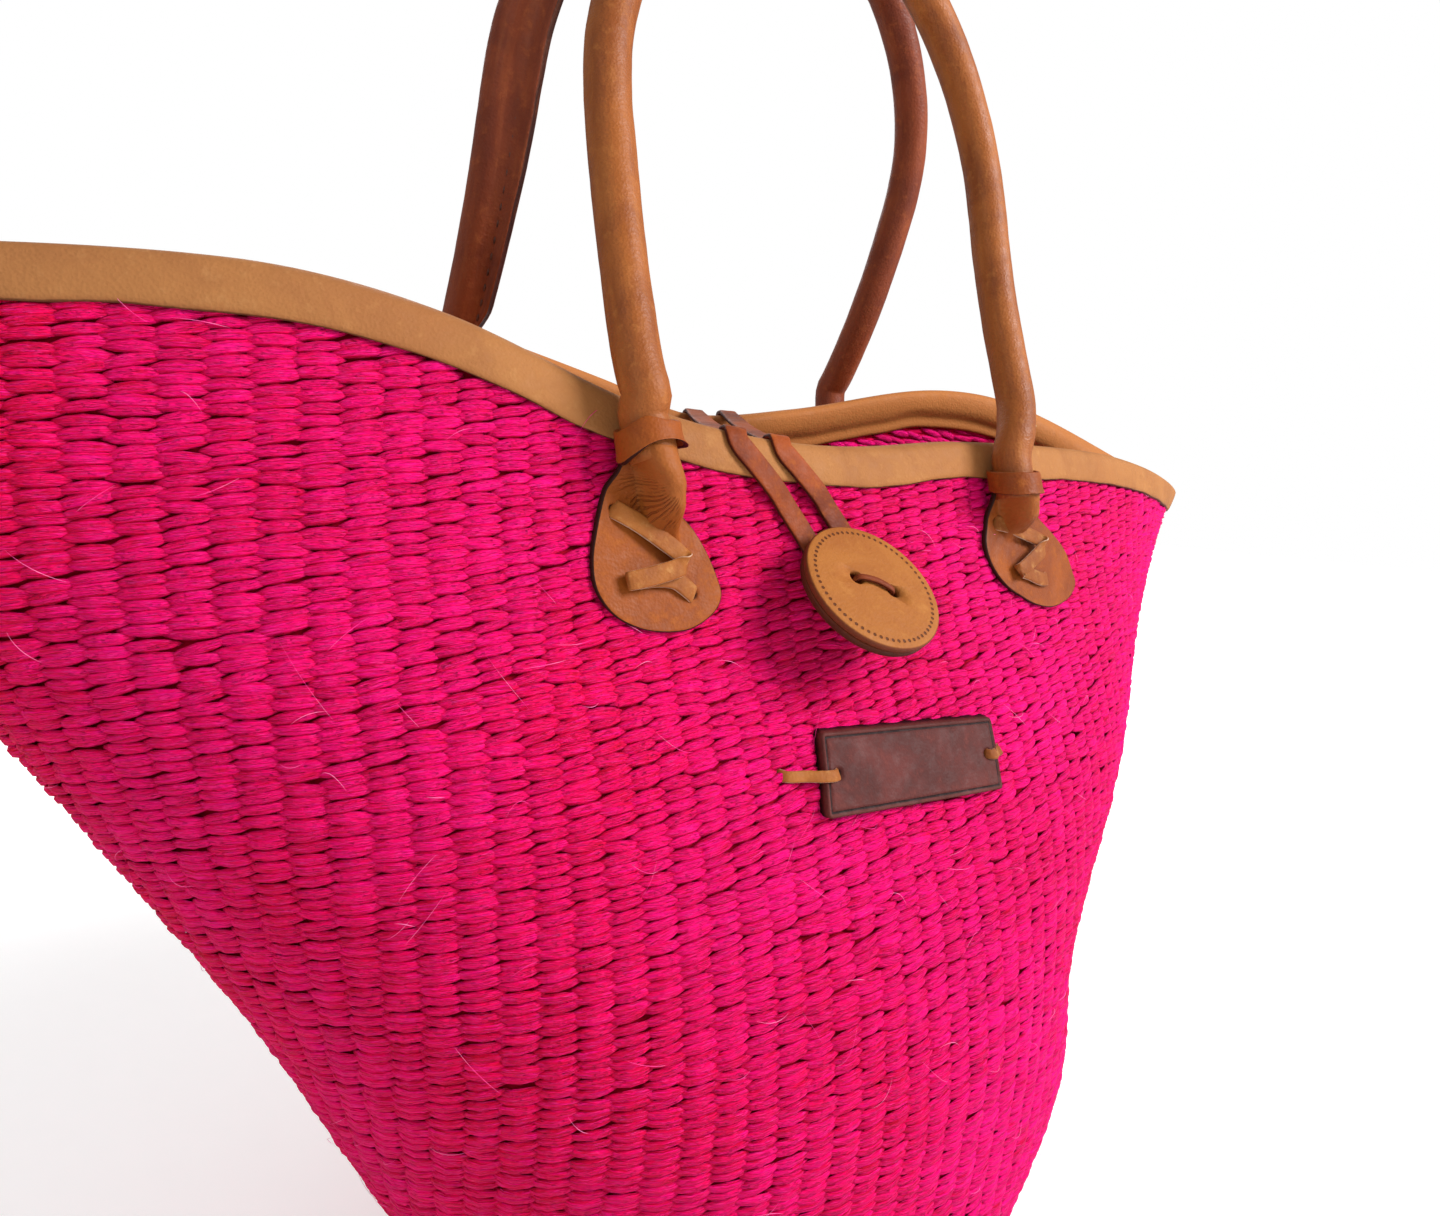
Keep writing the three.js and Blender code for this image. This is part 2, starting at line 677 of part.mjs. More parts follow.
// One leg of the strap: up the rear wall, over the mouth at a slant and down the front to the button
function closureLeg(shift) {
  const half = closureLeather / 2;
  const onWall = seatGap + half;
  const onBinding = seatGap + bindingLeather + closureRoom + half;
  const inside = -weaveThickness - seatGap - half;
  const innerTop = -rimPlaitThickness - bindingLeather;
  const down = new THREE.Vector3(0, 0, -1);
  const up = new THREE.Vector3(0, 0, 1);
  const inwards = (side) => new THREE.Vector3(0, -side, 0);
  const bowed = (face, side) => face.clone().add(inwards(side)).normalize();
  const xAt = (side, drop, out) => {
    const crossed = Math.max(onBinding - out, 0) / (2 * (mouthHalfDepth + onBinding));
    if (drop < bindingDrop) {
      const from = side === rear ? closureRearX : closureFrontX;
      const to = side === rear ? closureFrontX : closureRearX;
      const slanted = THREE.MathUtils.lerp(from, to, crossed);
      if (side === rear || drop < 0) return slanted + shift;
    }
    if (side === rear) return closureRearX + shift;
    return THREE.MathUtils.lerp(closureFrontX, buttonX, Math.sin(Math.PI / 2 * drop / buttonDrop)) + shift;
  };
  const at = (side, drop, out, face) => {
    const x = xAt(side, drop, out);
    return { point: wallAt(side, x, drop, out), face: face || wallNormal(side, x, Math.max(drop, bindingDrop)).negate() };
  };
  const overRim = (side) => [
    at(side, bindingDrop + closureLeather, onBinding),
    at(side, seatGap + bindingLeather, onBinding),
    at(side, -onBinding + half, onBinding - half / 2, bowed(down, side)),
    at(side, -onBinding, onBinding - bindingLeather - half, down),
    at(side, -onBinding, innerTop, down),
  ];
  const rearTop = at(rear, -onBinding, innerTop, down).point;
  const frontTop = at(front, -onBinding, innerTop, down).point;
  const span = [];
  for (let i = 1; i < closureSpanSteps; i += 1) {
    const share = i / closureSpanSteps;
    const point = rearTop.clone().lerp(frontTop, share);
    point.z -= closureSag * Math.sin(Math.PI * share);
    span.push({ point, face: down });
  }
  const stepDrop = bindingDrop + closureStepDrop;
  return [
    at(rear, closureSlitDrop + closureTail, inside, inwards(rear)),
    at(rear, closureSlitDrop + closureLeather, inside, inwards(rear)),
    at(rear, closureSlitDrop, inside + half, bowed(up, rear)),
    at(rear, closureSlitDrop, -weaveThickness / 2, up),
    at(rear, closureSlitDrop, onWall, bowed(up, rear)),
    at(rear, closureSlitDrop - closureLeather, onWall),
    at(rear, stepDrop, onWall),
    ...overRim(rear),
    ...span,
    ...overRim(front).reverse(),
    at(front, stepDrop, onWall),
    ...closureRestShares.map((share) => at(front, THREE.MathUtils.lerp(stepDrop, buttonDrop, share), onWall)),
    at(front, buttonDrop, onWall),
  ];
}

function closureLoop() {
  const reach = closureLegSpacing / 2;
  const left = closureLeg(-reach);
  const right = closureLeg(reach).reverse();
  const turn = [];
  for (let i = 1; i < closureTurnSteps; i += 1) {
    const angle = Math.PI * i / closureTurnSteps;
    turn.push({
      point: wallAt(
        front,
        buttonX - reach * Math.cos(angle),
        buttonDrop + reach * Math.sin(angle),
        seatGap + closureLeather / 2 + closureTurnLift * Math.sin(angle),
      ),
      face: wallNormal(front, buttonX, buttonDrop + closureTurnDrop).negate(),
    });
  }
  return ribbon([...left, ...turn, ...right], closureWidth, closureLeather);
}

// The button stands off the wall and looks up a little; its frame has X through both holes and Z out of its face
function buttonFrame() {
  const outwards = wallNormal(front, buttonX, buttonDrop);
  const level = new THREE.Vector3(1, 0, 0).addScaledVector(outwards, -outwards.x).normalize();
  const normal = outwards.clone().applyAxisAngle(level, -buttonTopple * degrees);
  const down = level.clone().cross(normal).normalize();
  const across = level.clone().multiplyScalar(Math.cos(buttonHoleTurn * degrees))
    .addScaledVector(down, Math.sin(buttonHoleTurn * degrees));
  const place = wallAt(front, buttonX, buttonDrop, 0)
    .addScaledVector(normal, buttonStandoff / Math.cos(buttonTopple * degrees));
  return new THREE.Matrix4().makeBasis(across, normal.clone().cross(across), normal).setPosition(place);
}

function standing(radius, sides, from, to) {
  const round = new THREE.CylinderGeometry(radius, radius, to - from, sides);
  return round.rotateX(Math.PI / 2).translate(0, 0, (from + to) / 2);
}

function block(x, length, width, from, to) {
  return new THREE.BoxGeometry(length, width, to - from).translate(x, 0, (from + to) / 2);
}

function buttonDisc(from) {
  const holes = [-1, 1].map((sign) => {
    const hole = standing(buttonHoleRadius, buttonHoleSides, from - cutOverrun, from + buttonLeather + cutOverrun);
    return hole.translate(sign * buttonHoleSpacing / 2, 0, 0);
  });
  return cut(standing(buttonRadius, buttonSides, from, from + buttonLeather), holes);
}

// The discs lie on either side of the frame's origin plane, which holds the line that they tilt about
const buttonHalf = buttonLeather + seatGap / 2;

function buttonThong() {
  const over = buttonHalf + buttonThongSlack;
  const top = over + buttonThongLeather;
  const inside = -(buttonStandoff + weaveThickness) / Math.cos(buttonTopple * degrees) - buttonKnotSlack;
  const reach = buttonHoleSpacing + buttonThongLeather;
  const pegLeather = buttonThongLeather - 2 * pegTrim;
  const pegWidth = buttonThongWidth - 2 * pegTrim;
  return joined([
    block(0, reach, buttonThongWidth, over, top),
    block(0, reach, buttonThongWidth, -top, -over),
    ...[-1, 1].map((sign) => block(sign * buttonHoleSpacing / 2, pegLeather, pegWidth, -over - pegTrim, over + pegTrim)),
    block(0, buttonNeckWidth, pegWidth, inside - pegTrim, -over - pegTrim),
    block(0, buttonKnotLength, buttonThongWidth, inside - buttonThongLeather, inside),
  ]).applyMatrix4(buttonFrame());
}

function buttonNeckSlot() {
  const size = [buttonNeckWidth + 2 * seatGap, buttonThongWidth + 2 * seatGap];
  const past = (buttonStandoff + weaveThickness) / Math.cos(buttonTopple * degrees) + cutOverrun;
  return block(0, ...size, -past, 0).applyMatrix4(buttonFrame());
}

// The label and its thong stay level below a rim that rises and falls
function labelDropAt(x) {
  return labelDrop + wallAt(front, x, labelDrop, 0).z - wallAt(front, labelX, labelDrop, 0).z;
}

// A stiff leather label that follows the wall
function labelTag() {
  const sections = [];
  for (let i = 0; i <= labelSteps; i += 1) {
    const x = labelX + labelLength * (i / labelSteps - 1 / 2);
    const corner = (share, out) => wallAt(front, x, labelDropAt(x) + share * labelHeight / 2, out);
    const back = [-1, 0, 1].map((share) => corner(share, seatGap));
    const face = [1, 0, -1].map((share) => corner(share, seatGap + labelLeather));
    sections.push([...back, ...face]);
  }
  return cut(loft(sections, false), labelPlaces().map(([hole]) => labelPeg(hole, seatGap, cutOverrun + labelLeather)));
}

// For both ends of the label: the hole in it and the hole in the wall beyond its edge
function labelPlaces() {
  return Object.entries(labelStitches).map(([hand, stitch]) => {
    const hole = labelX + ends[hand] * (labelLength / 2 - labelHoleInset);
    return [hole, hole + ends[hand] * stitch].map((x) => ({ x, drop: labelDropAt(x), hand }));
  });
}

function labelPeg(place, grown, toOut) {
  const inside = -weaveThickness - seatGap - (grown > 0 ? cutOverrun : labelThongLeather - pegTrim);
  return wallPeg(front, place, labelThongLeather + 2 * grown, labelThongWidth + 2 * grown, inside, toOut);
}

function labelThong() {
  const over = seatGap + labelLeather + seatGap;
  const inside = -weaveThickness - seatGap - labelThongLeather;
  const pieces = labelPlaces().flatMap(([hole, beyond]) => {
    const sign = ends[hole.hand];
    const half = labelThongLeather / 2;
    const edge = labelX + sign * (labelLength / 2 + stitchEdgeRoom);
    const places = [
      { x: hole.x - sign * half, drop: hole.drop, out: over },
      { x: edge, drop: labelDropAt(edge), out: over },
      { x: beyond.x + sign * half, drop: beyond.drop, out: seatGap },
    ];
    return [
      wallStrap(front, places, labelThongWidth, labelThongLeather),
      labelPeg(hole, -pegTrim, over + labelThongLeather - pegTrim),
      labelPeg(beyond, -pegTrim, seatGap + labelThongLeather - pegTrim),
    ];
  });
  const [[, left], [, right]] = labelPlaces();
  const run = [];
  for (let i = 0; i <= labelSteps; i += 1) {
    const x = THREE.MathUtils.lerp(left.x, right.x, i / labelSteps);
    run.push({ x, drop: labelDropAt(x), out: inside });
  }
  return joined([...pieces, wallStrap(front, run, labelThongWidth, labelThongLeather)]);
}

const handles = { front: frontHandle, rear: rearHandle };

function wallSlots() {
  const thongs = Object.values(handles).flatMap((handle) => (
    Object.keys(ends).flatMap((hand) => thongSlots(handle, hand))
  ));
  const legs = [-1, 1].map((sign) => {
    const x = closureRearX + sign * closureLegSpacing / 2;
    const stops = [-weaveThickness - cutOverrun, cutOverrun].map((out) => ({
      point: wallAt(rear, x, closureSlitDrop, out),
      face: new THREE.Vector3(0, 0, 1),
    }));
    return ribbon(stops, closureWidth + 2 * seatGap, closureLeather + 2 * seatGap);
  });
  const labels = labelPlaces().flat().map((place) => labelPeg(place, seatGap, cutOverrun));
  return [...thongs, ...legs, buttonNeckSlot(), ...labels];
}

function piece(name, geometry, color, roughness) {
  const mesh = new THREE.Mesh(geometry, new THREE.MeshStandardMaterial({ color, roughness, metalness: 0 }));
  mesh.name = name;
  return mesh;
}

const leather = (name, geometry, colour) => piece(name, geometry, colour, leatherRoughness);

const basket = new THREE.Group();
basket.name = 'kiondo_basket';
basket.add(piece('woven_body', wovenBody(), weaveColour, fibreRoughness));
basket.add(leather('rim_binding', rimBinding(), bindingColour));

for (const [name, handle] of Object.entries(handles)) {
  const group = new THREE.Group();
  group.name = `${name}_handle`;
  group.position.copy(hingeOf(handle));
  group.rotation.x = handle.side * handle.lean * degrees;
  group.add(leather(`${name}_grip_cover`, gripCover(handle), handleColour));
  group.add(piece(`${name}_grip_core`, gripCore(handle), ropeColour, fibreRoughness));
  basket.add(group);
  for (const hand of Object.keys(ends)) {
    basket.add(leather(`${name}_${hand}_tab`, handleTab(handle, hand), tabColour));
    basket.add(leather(`${name}_${hand}_keeper`, keeperBand(handle, hand), tabColour));
    basket.add(leather(`${name}_${hand}_thong`, lacingThong(handle, hand), thongColour));
  }
}

basket.add(leather('closure_loop', closureLoop(), strapColour));
basket.add(leather('button_thong', buttonThong(), thongColour));
basket.add(leather('label_tag', labelTag(), labelColour));
basket.add(leather('label_thong', labelThong(), thongColour));

const button = new THREE.Group();
button.name = 'button';
buttonFrame().decompose(button.position, button.quaternion, button.scale);
button.add(leather('button_face', buttonDisc(seatGap / 2), buttonColour));
button.add(leather('button_back', buttonDisc(-buttonHalf), buttonColour));
basket.add(button);

export default basket;
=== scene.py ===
import bpy
import bmesh
import math
import numpy as np
from mathutils import Matrix, Vector


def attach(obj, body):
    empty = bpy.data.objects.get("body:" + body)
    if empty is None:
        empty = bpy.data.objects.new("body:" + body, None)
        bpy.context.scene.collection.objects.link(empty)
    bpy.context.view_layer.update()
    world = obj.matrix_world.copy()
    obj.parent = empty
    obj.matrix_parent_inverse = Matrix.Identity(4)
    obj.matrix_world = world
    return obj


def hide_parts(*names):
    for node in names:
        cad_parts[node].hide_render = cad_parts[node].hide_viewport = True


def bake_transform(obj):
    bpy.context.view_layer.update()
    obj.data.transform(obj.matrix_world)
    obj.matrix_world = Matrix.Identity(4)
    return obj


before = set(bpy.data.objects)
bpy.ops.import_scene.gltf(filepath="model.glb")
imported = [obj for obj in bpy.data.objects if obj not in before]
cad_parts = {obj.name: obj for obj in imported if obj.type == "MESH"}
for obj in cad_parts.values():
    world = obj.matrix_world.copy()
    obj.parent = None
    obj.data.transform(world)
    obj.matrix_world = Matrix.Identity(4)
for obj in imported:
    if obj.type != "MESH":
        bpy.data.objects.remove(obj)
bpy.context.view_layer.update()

metre = 0.001  # the shapes below are worked out in millimetres, as the CAD is
front, rear = -1, 1
chance = np.random.default_rng(7)

# Camera, where the photograph was taken from
view = {"place": (-0.2156, -0.2847, 0.2696), "yaw": 35.67, "pitch": -7.27, "roll": 3.39,
        "focal": 1000, "centre": (721, 607), "frame": (1440, 1216)}

def added(name, data):
    made = bpy.data.objects.new(name, data)
    bpy.context.scene.collection.objects.link(made)
    return made

def makeCamera():
    yaw, pitch, roll = (math.radians(view[k]) for k in ("yaw", "pitch", "roll"))
    forward = Vector((math.sin(yaw) * math.cos(pitch), math.cos(yaw) * math.cos(pitch), math.sin(pitch)))
    right = Vector((math.cos(yaw), -math.sin(yaw), 0))
    up = right.cross(forward)
    turnedRight = right * math.cos(roll) + up * math.sin(roll)
    turnedUp = up * math.cos(roll) - right * math.sin(roll)
    camera = added("camera", bpy.data.cameras.new("camera"))
    camera.matrix_world = Matrix((turnedRight, turnedUp, -forward)).transposed().to_4x4()
    camera.location = view["place"]
    camera.data.sensor_width = 36
    camera.data.lens = view["focal"] * 36 / view["frame"][0]
    camera.data.shift_x = (view["frame"][0] / 2 - view["centre"][0]) / view["frame"][0]
    camera.data.shift_y = (view["centre"][1] - view["frame"][1] / 2) / view["frame"][0]
    camera.data.clip_start = 0.01
    bpy.context.scene.camera = camera

makeCamera()

# The basket's wall, as in the CAD
wall = {
    "height": 280, "mouthLength": 265, "mouthDepth": 51, "baseLength": 104, "baseDepth": 102,
    "riseShares": [0, 0.2, 0.38, 0.6, 0.8, 1],
    "leftShares": [0, 0.2, 0.38, 0.64, 0.88, 1],
    "rightShares": [0, 0.24, 0.2, 0.56, 0.81, 1],
    "depthShares": [0, -0.12, -0.16, 0.13, 0.65, 1],
    "baseRoundness": 2, "mouthSideRoundness": 2.6, "mouthEndRoundness": 1, "pointingStart": 0.35,
    "rimPlaces": [-1, -0.66, -0.5, -0.3, -0.15, 0, 0.2, 0.5, 0.7, 1],
    "frontRises": [24, 30, 24, 7, 0.5, 0, 5, 7, 4.5, -3],
    "rearRises": [24, 33, 38, 29, 21, 12, 18, 33, 29, -3],
    "evening": 0.75, "thickness": 5, "floor": 6, "edgeRadius": 10, "plait": 8,
}

def mix(a, b, share):
    return a + (b - a) * share

def smooth(x, low, high):
    share = np.clip((x - low) / (high - low), 0, 1)
    return share * share * (3 - 2 * share)

def curveThrough(places, values, x):
    places, values = np.array(places, float), np.array(values, float)
    x = np.clip(x, places[0], places[-1])
    i = np.clip(np.searchsorted(places, x, side="left") - 1, 0, len(places) - 2)
    before = np.maximum(np.arange(len(places)) - 1, 0)
    after = np.minimum(np.arange(len(places)) + 1, len(places) - 1)
    slopes = (values[after] - values[before]) / (places[after] - places[before])
    span = places[i + 1] - places[i]
    t = (x - places[i]) / span
    rise = values[i + 1] - values[i]
    return values[i] + t * rise + t * (1 - t) * ((1 - t) * (slopes[i] * span - rise) + t * (rise - slopes[i + 1] * span))

def sectionAt(rise, end):
    rise = np.clip(rise, 0, 1)
    pointing = np.maximum((rise - wall["pointingStart"]) / (1 - wall["pointingStart"]), 0)
    left = curveThrough(wall["riseShares"], wall["leftShares"], rise)
    right = curveThrough(wall["riseShares"], wall["rightShares"], rise)
    halfLength = mix(wall["baseLength"], wall["mouthLength"], np.where(end < 0, left, right))
    halfDepth = mix(wall["baseDepth"], wall["mouthDepth"], curveThrough(wall["riseShares"], wall["depthShares"], rise))
    sideRoundness = mix(wall["baseRoundness"], wall["mouthSideRoundness"], rise)
    endPower = 1 / mix(wall["baseRoundness"], wall["mouthEndRoundness"], pointing)
    return pointing, halfLength, halfDepth, sideRoundness, endPower, 1 + pointing

def lengthShare(quarter, pointing):
    return mix(np.cos(quarter * np.pi / 2), 1 - quarter, wall["evening"] * pointing)

def rimHeight(side, end, quarter):
    rises = wall["frontRises"] if side == front else wall["rearRises"]
    return wall["height"] + curveThrough(wall["rimPlaces"], rises, end * lengthShare(quarter, 1))

def wallPoint(side, end, quarter, rise, inset):
    pointing, halfLength, halfDepth, sideRoundness, endPower, endThickness = sectionAt(rise, end)
    share = lengthShare(quarter, pointing)
    x = end * share * (halfLength - inset * endThickness)
    y = side * np.maximum(1 - share ** sideRoundness, 0) ** endPower * (halfDepth - inset)
    return np.stack(np.broadcast_arrays(x, y, rise * rimHeight(side, end, quarter)), -1)

# A wall point by x, drop below the rim and distance out
def wallAt(side, x, drop, out):
    x, drop, out = (np.asarray(v, float) for v in np.broadcast_arrays(x, drop, out))
    end = np.where(x < 0, -1, 1)
    quarter = np.ones_like(x)
    for _ in range(4):
        rim = rimHeight(side, end, quarter)
        pointing, halfLength, halfDepth, sideRoundness, endPower, endThickness = sectionAt(1 - drop / rim, end)
        share = np.minimum(np.abs(x) / (halfLength + out * endThickness), 1)
        low, high = np.zeros_like(x), np.ones_like(x)
        for _ in range(20):
            middle = (low + high) / 2
            wide = lengthShare(middle, pointing) > share
            low, high = np.where(wide, middle, low), np.where(wide, high, middle)
        quarter = (low + high) / 2
    y = side * np.maximum(1 - share ** sideRoundness, 0) ** endPower * (halfDepth + out)
    return np.stack([x, y, rim - drop], -1)

# Side, end and quarter share for places round the mouth, from the right-hand end over the rear
def ringOf(around):
    piece = np.clip((around * 4).astype(int), 0, 3)
    share = around * 4 - piece
    side = np.where(piece < 2, rear, front)
    end = np.where((piece == 0) | (piece == 3), 1, -1)
    return side, end, np.where(piece % 2 == 0, share, 1 - share)

# Distance travelled along a line of points, at each point
def travelledAlong(points):
    return np.concatenate([[0], np.cumsum(np.linalg.norm(np.diff(points, axis=0), axis=1))])

# How far the wall stands in where it rounds into the base
def edgeInset(height):
    up = np.clip(wall["edgeRadius"] - height, 0, wall["edgeRadius"])
    return wall["edgeRadius"] - np.sqrt(wall["edgeRadius"] ** 2 - up ** 2)

def unit(vectors):
    return vectors / np.maximum(np.linalg.norm(vectors, axis=-1, keepdims=True), 1e-9)

def wallNormal(side, x, drop, step=5.0):
    along = wallAt(side, np.add(x, step), drop, 0) - wallAt(side, np.subtract(x, step), drop, 0)
    down = wallAt(side, x, np.add(drop, step), 0) - wallAt(side, x, np.subtract(drop, step), 0)
    return unit(np.cross(along, down)) * side

# Meshes
def linked(name, mesh, material, body, nodes=()):
    piece = added(name, mesh)
    mesh.materials.append(material)
    if body:
        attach(piece, body)
    if nodes:
        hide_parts(*nodes)
    return piece

def finished(bm, name):
    mesh = bpy.data.meshes.new(name)
    bmesh.ops.recalc_face_normals(bm, faces=bm.faces)
    for face in bm.faces:
        face.smooth = True
    bm.to_mesh(mesh)
    bm.free()
    return mesh

# A grid bent to a shape: place gives the point for shares across and along, details the numbers its material reads
def bent(name, columns, rows, place, details=None, capped=True):
    bm = bmesh.new()
    bmesh.ops.create_grid(bm, x_segments=columns, y_segments=rows, size=0.5)
    shares = np.array([v.co[:2] for v in bm.verts]) + 0.5
    layers = {key: bm.verts.layers.float_vector.new(key) for key in (details or {})}
    points = place(shares[:, 0], shares[:, 1]) * metre
    found = {key: make(shares[:, 0], shares[:, 1]) for key, make in (details or {}).items()}
    for i, vert in enumerate(bm.verts):
        vert.co = points[i]
        for key, layer in layers.items():
            vert[layer] = found[key][i]
    bmesh.ops.remove_doubles(bm, verts=bm.verts, dist=2e-6)
    if capped:
        bmesh.ops.holes_fill(bm, edges=[e for e in bm.edges if e.is_boundary], sides=0)
    return finished(bm, name)

def packed(*columns):
    return np.stack(np.broadcast_arrays(*[np.asarray(c, float) for c in columns]), -1)

# Smooth unevenness from a few waves
def uneven(seed, *places):
    waves = np.random.default_rng(seed)
    total = 0
    for k in range(5):
        phase = waves.uniform(0, 6.28)
        total = total + np.sin(sum(p * waves.normal(0, 1) * (1 + 0.6 * k) for p in places) + phase) / (1 + 0.5 * k)
    return total / 2.5

# Curve through stops, with a face direction at each
def smoothed(stops, perSpan):
    stops = np.array(stops, float)
    padded = np.concatenate([2 * stops[:1] - stops[1:2], stops, 2 * stops[-1:] - stops[-2:-1]])
    result = []
    for i in range(len(stops) - 1):
        a, b, c, d = padded[i:i + 4]
        for t in np.arange(perSpan) / perSpan:
            square, cube = 2 * a - 5 * b + 4 * c - d, 3 * b - a - 3 * c + d
            result.append(0.5 * (2 * b + (c - a) * t + square * t * t + cube * t ** 3))
    return np.array(result + [stops[-1]])

# A strap along stops of (point, face): a rounded flat section; its edge mask is 1 at its raw edges, where the leather
# lays its edge colour as painted shade on the side walls (the thong's pale cut edge is its own colour)
def strapMesh(name, stops, width, thickness, perSpan=8, around=16, squareness=0.45):
    line = smoothed([np.concatenate([p, f]) for p, f in stops], perSpan)
    points, faces = line[:, :3], unit(line[:, 3:])
    tangents = unit(np.gradient(points, axis=0))
    across = unit(np.cross(tangents, faces))
    ups = np.cross(across, tangents)
    travelled = travelledAlong(points)

    def sampled(values, along):
        place = along * (len(points) - 1)
        low = np.clip(place.astype(int), 0, len(points) - 2)
        share = (place - low)[:, None]
        return values[low] * (1 - share) + values[low + 1] * share

    def place(turns, along):
        angle = 2 * np.pi * turns
        c, s = np.cos(angle), np.sin(angle)
        wide = np.sign(c) * np.abs(c) ** squareness * width / 2
        high = np.sign(s) * np.abs(s) ** squareness * thickness / 2
        wide = wide * (1 + 0.05 * uneven(3, along * 9, c * 0.4))
        return sampled(points, along) + sampled(across, along) * wide[:, None] + sampled(ups, along) * high[:, None]

    def edgesAndShade(turns, along):
        angle = 2 * np.pi * turns
        return packed(np.abs(np.cos(angle)) ** 6, along * travelled[-1] / 10, np.sin(angle))
    return bent(name, around, len(points) - 1, place, {"edgesAndShade": edgesAndShade})

# Materials
def tint(r, g, b, strength=1.0):  # a colour given in 0 to 255 as on a screen
    linear = [c / 255 / 12.92 if c <= 10 else ((c / 255 + 0.055) / 1.055) ** 2.4 for c in (r, g, b)]
    return tuple(strength * c for c in linear) + (1,)

class Nodes:  # shorthand for building one material's nodes
    def __init__(self, name):
        self.material = bpy.data.materials.new(name)
        self.material.use_nodes = True
        self.tree = self.material.node_tree
        self.shader = self.tree.nodes["Principled BSDF"]
        self.object = self.node("ShaderNodeTexCoord").outputs["Object"]

    def node(self, kind, settings=None, **inputs):
        made = self.tree.nodes.new(kind)
        for key, value in (settings or {}).items():
            setattr(made, key, value)
        for key, value in inputs.items():
            numbered = key.startswith("in") and key[2:].isdigit()
            self.feed(made.inputs[int(key[2:]) if numbered else key.replace("_", " ")], value)
        return made

    def feed(self, socket, value):
        if isinstance(value, bpy.types.NodeSocket):
            self.tree.links.new(value, socket)
        else:
            socket.default_value = value

    def math(self, operation, a, b=0.0, c=0.0):
        return self.node("ShaderNodeMath", {"operation": operation}, in0=a, in1=b, in2=c).outputs[0]

    def times(self, a, b):
        return self.math("MULTIPLY", a, b)

    def plus(self, a, b):
        return self.math("ADD", a, b)

    def minus(self, a, b):
        return self.math("SUBTRACT", a, b)

    def size(self, a):
        return self.math("ABSOLUTE", a)

    def length(self, a, b):
        return self.math("SQRT", self.plus(self.times(a, a), self.times(b, b)))

    def parts(self, vector):
        return self.node("ShaderNodeSeparateXYZ", in0=vector).outputs

    def joined(self, x, y, z):
        return self.node("ShaderNodeCombineXYZ", in0=x, in1=y, in2=z).outputs[0]

    def detail(self, name):
        return self.node("ShaderNodeAttribute", {"attribute_name": name}).outputs["Vector"]

    def noise(self, vector, scale, depth=3.0, rough=0.5, twist=0.0):
        return self.node("ShaderNodeTexNoise", Vector=vector, Scale=scale, Detail=depth,
                         Roughness=rough, Distortion=twist).outputs[0]

    def cells(self, vector, scale):
        return self.node("ShaderNodeTexVoronoi", Vector=vector, Scale=scale).outputs["Distance"]

    def span(self, value, low, high, newLow=0.0, newHigh=1.0):
        made = self.node("ShaderNodeMapRange", {"interpolation_type": "SMOOTHSTEP"}, Value=value)
        for key, number in zip(("From Min", "From Max", "To Min", "To Max"), (low, high, newLow, newHigh)):
            self.feed(made.inputs[key], number)
        return made.outputs[0]

    def blend(self, share, a, b, kind="MIX"):
        made = self.node("ShaderNodeMix", {"data_type": "RGBA", "blend_type": kind})
        self.feed(made.inputs[0], share)
        self.feed(made.inputs[6], a)
        self.feed(made.inputs[7], b)
        return made.outputs[2]

    # A colour laid over another where a value goes from low to high, at most by the share most
    def over(self, colour, value, low, high, most, rgb, strength=1.0):
        return self.blend(self.span(value, low, high, 0.0, most), colour, tint(*rgb, strength))

    def bump(self, height, strength, distance):
        before = self.shader.inputs["Normal"].links
        made = self.node("ShaderNodeBump", Height=height, Strength=strength, Distance=distance)
        if before:
            self.feed(made.inputs["Normal"], before[0].from_socket)
        self.feed(self.shader.inputs["Normal"], made.outputs[0])

    def finish(self, colour, roughness, **sockets):
        self.feed(self.shader.inputs["Base Color"], colour)
        self.feed(self.shader.inputs["Roughness"], roughness)
        for key, value in sockets.items():
            self.shader.inputs[key.replace("_", " ")].default_value = value
        return self.material

leatherDepth = 0.83
leathers = {  # base, pale and dark colours, edge colour (painted shade on edges and creases, except the thong's pale cut edge), roughness
    "rim": {"base": (172, 114, 64), "pale": (186, 132, 82), "dark": (148, 92, 52), "edge": (84, 36, 22), "rough": 0.66},
    "rearRim": {"base": (186, 114, 58), "pale": (200, 134, 76), "dark": (148, 82, 38), "edge": (76, 32, 18), "rough": 0.6},
    "grip": {"base": (160, 90, 38), "pale": (182, 114, 56), "dark": (112, 50, 20), "edge": (58, 22, 14), "rough": 0.5},
    "rearGrip": {"base": (136, 62, 32), "pale": (166, 88, 46), "dark": (96, 36, 20), "edge": (48, 16, 10), "rough": 0.5},
    "tab": {"base": (152, 76, 22), "pale": (174, 96, 36), "dark": (104, 40, 14), "edge": (46, 16, 10), "rough": 0.55},
    "strap": {"base": (158, 72, 24), "pale": (178, 98, 42), "dark": (112, 46, 20), "edge": (74, 26, 16), "rough": 0.6},
    "button": {"base": (170, 104, 44), "pale": (184, 122, 62), "dark": (148, 80, 32), "edge": (88, 34, 24), "rough": 0.6},
    "buttonBack": {"base": (104, 46, 24), "pale": (126, 62, 34), "dark": (74, 28, 16), "edge": (46, 16, 12), "rough": 0.6},
    "thong": {"base": (172, 104, 46), "pale": (200, 148, 92), "dark": (136, 72, 30), "edge": (200, 164, 142), "rough": 0.6},
    "label": {"base": (98, 42, 38), "pale": (116, 60, 54), "dark": (76, 30, 26), "edge": (30, 8, 8), "rough": 0.6},
}

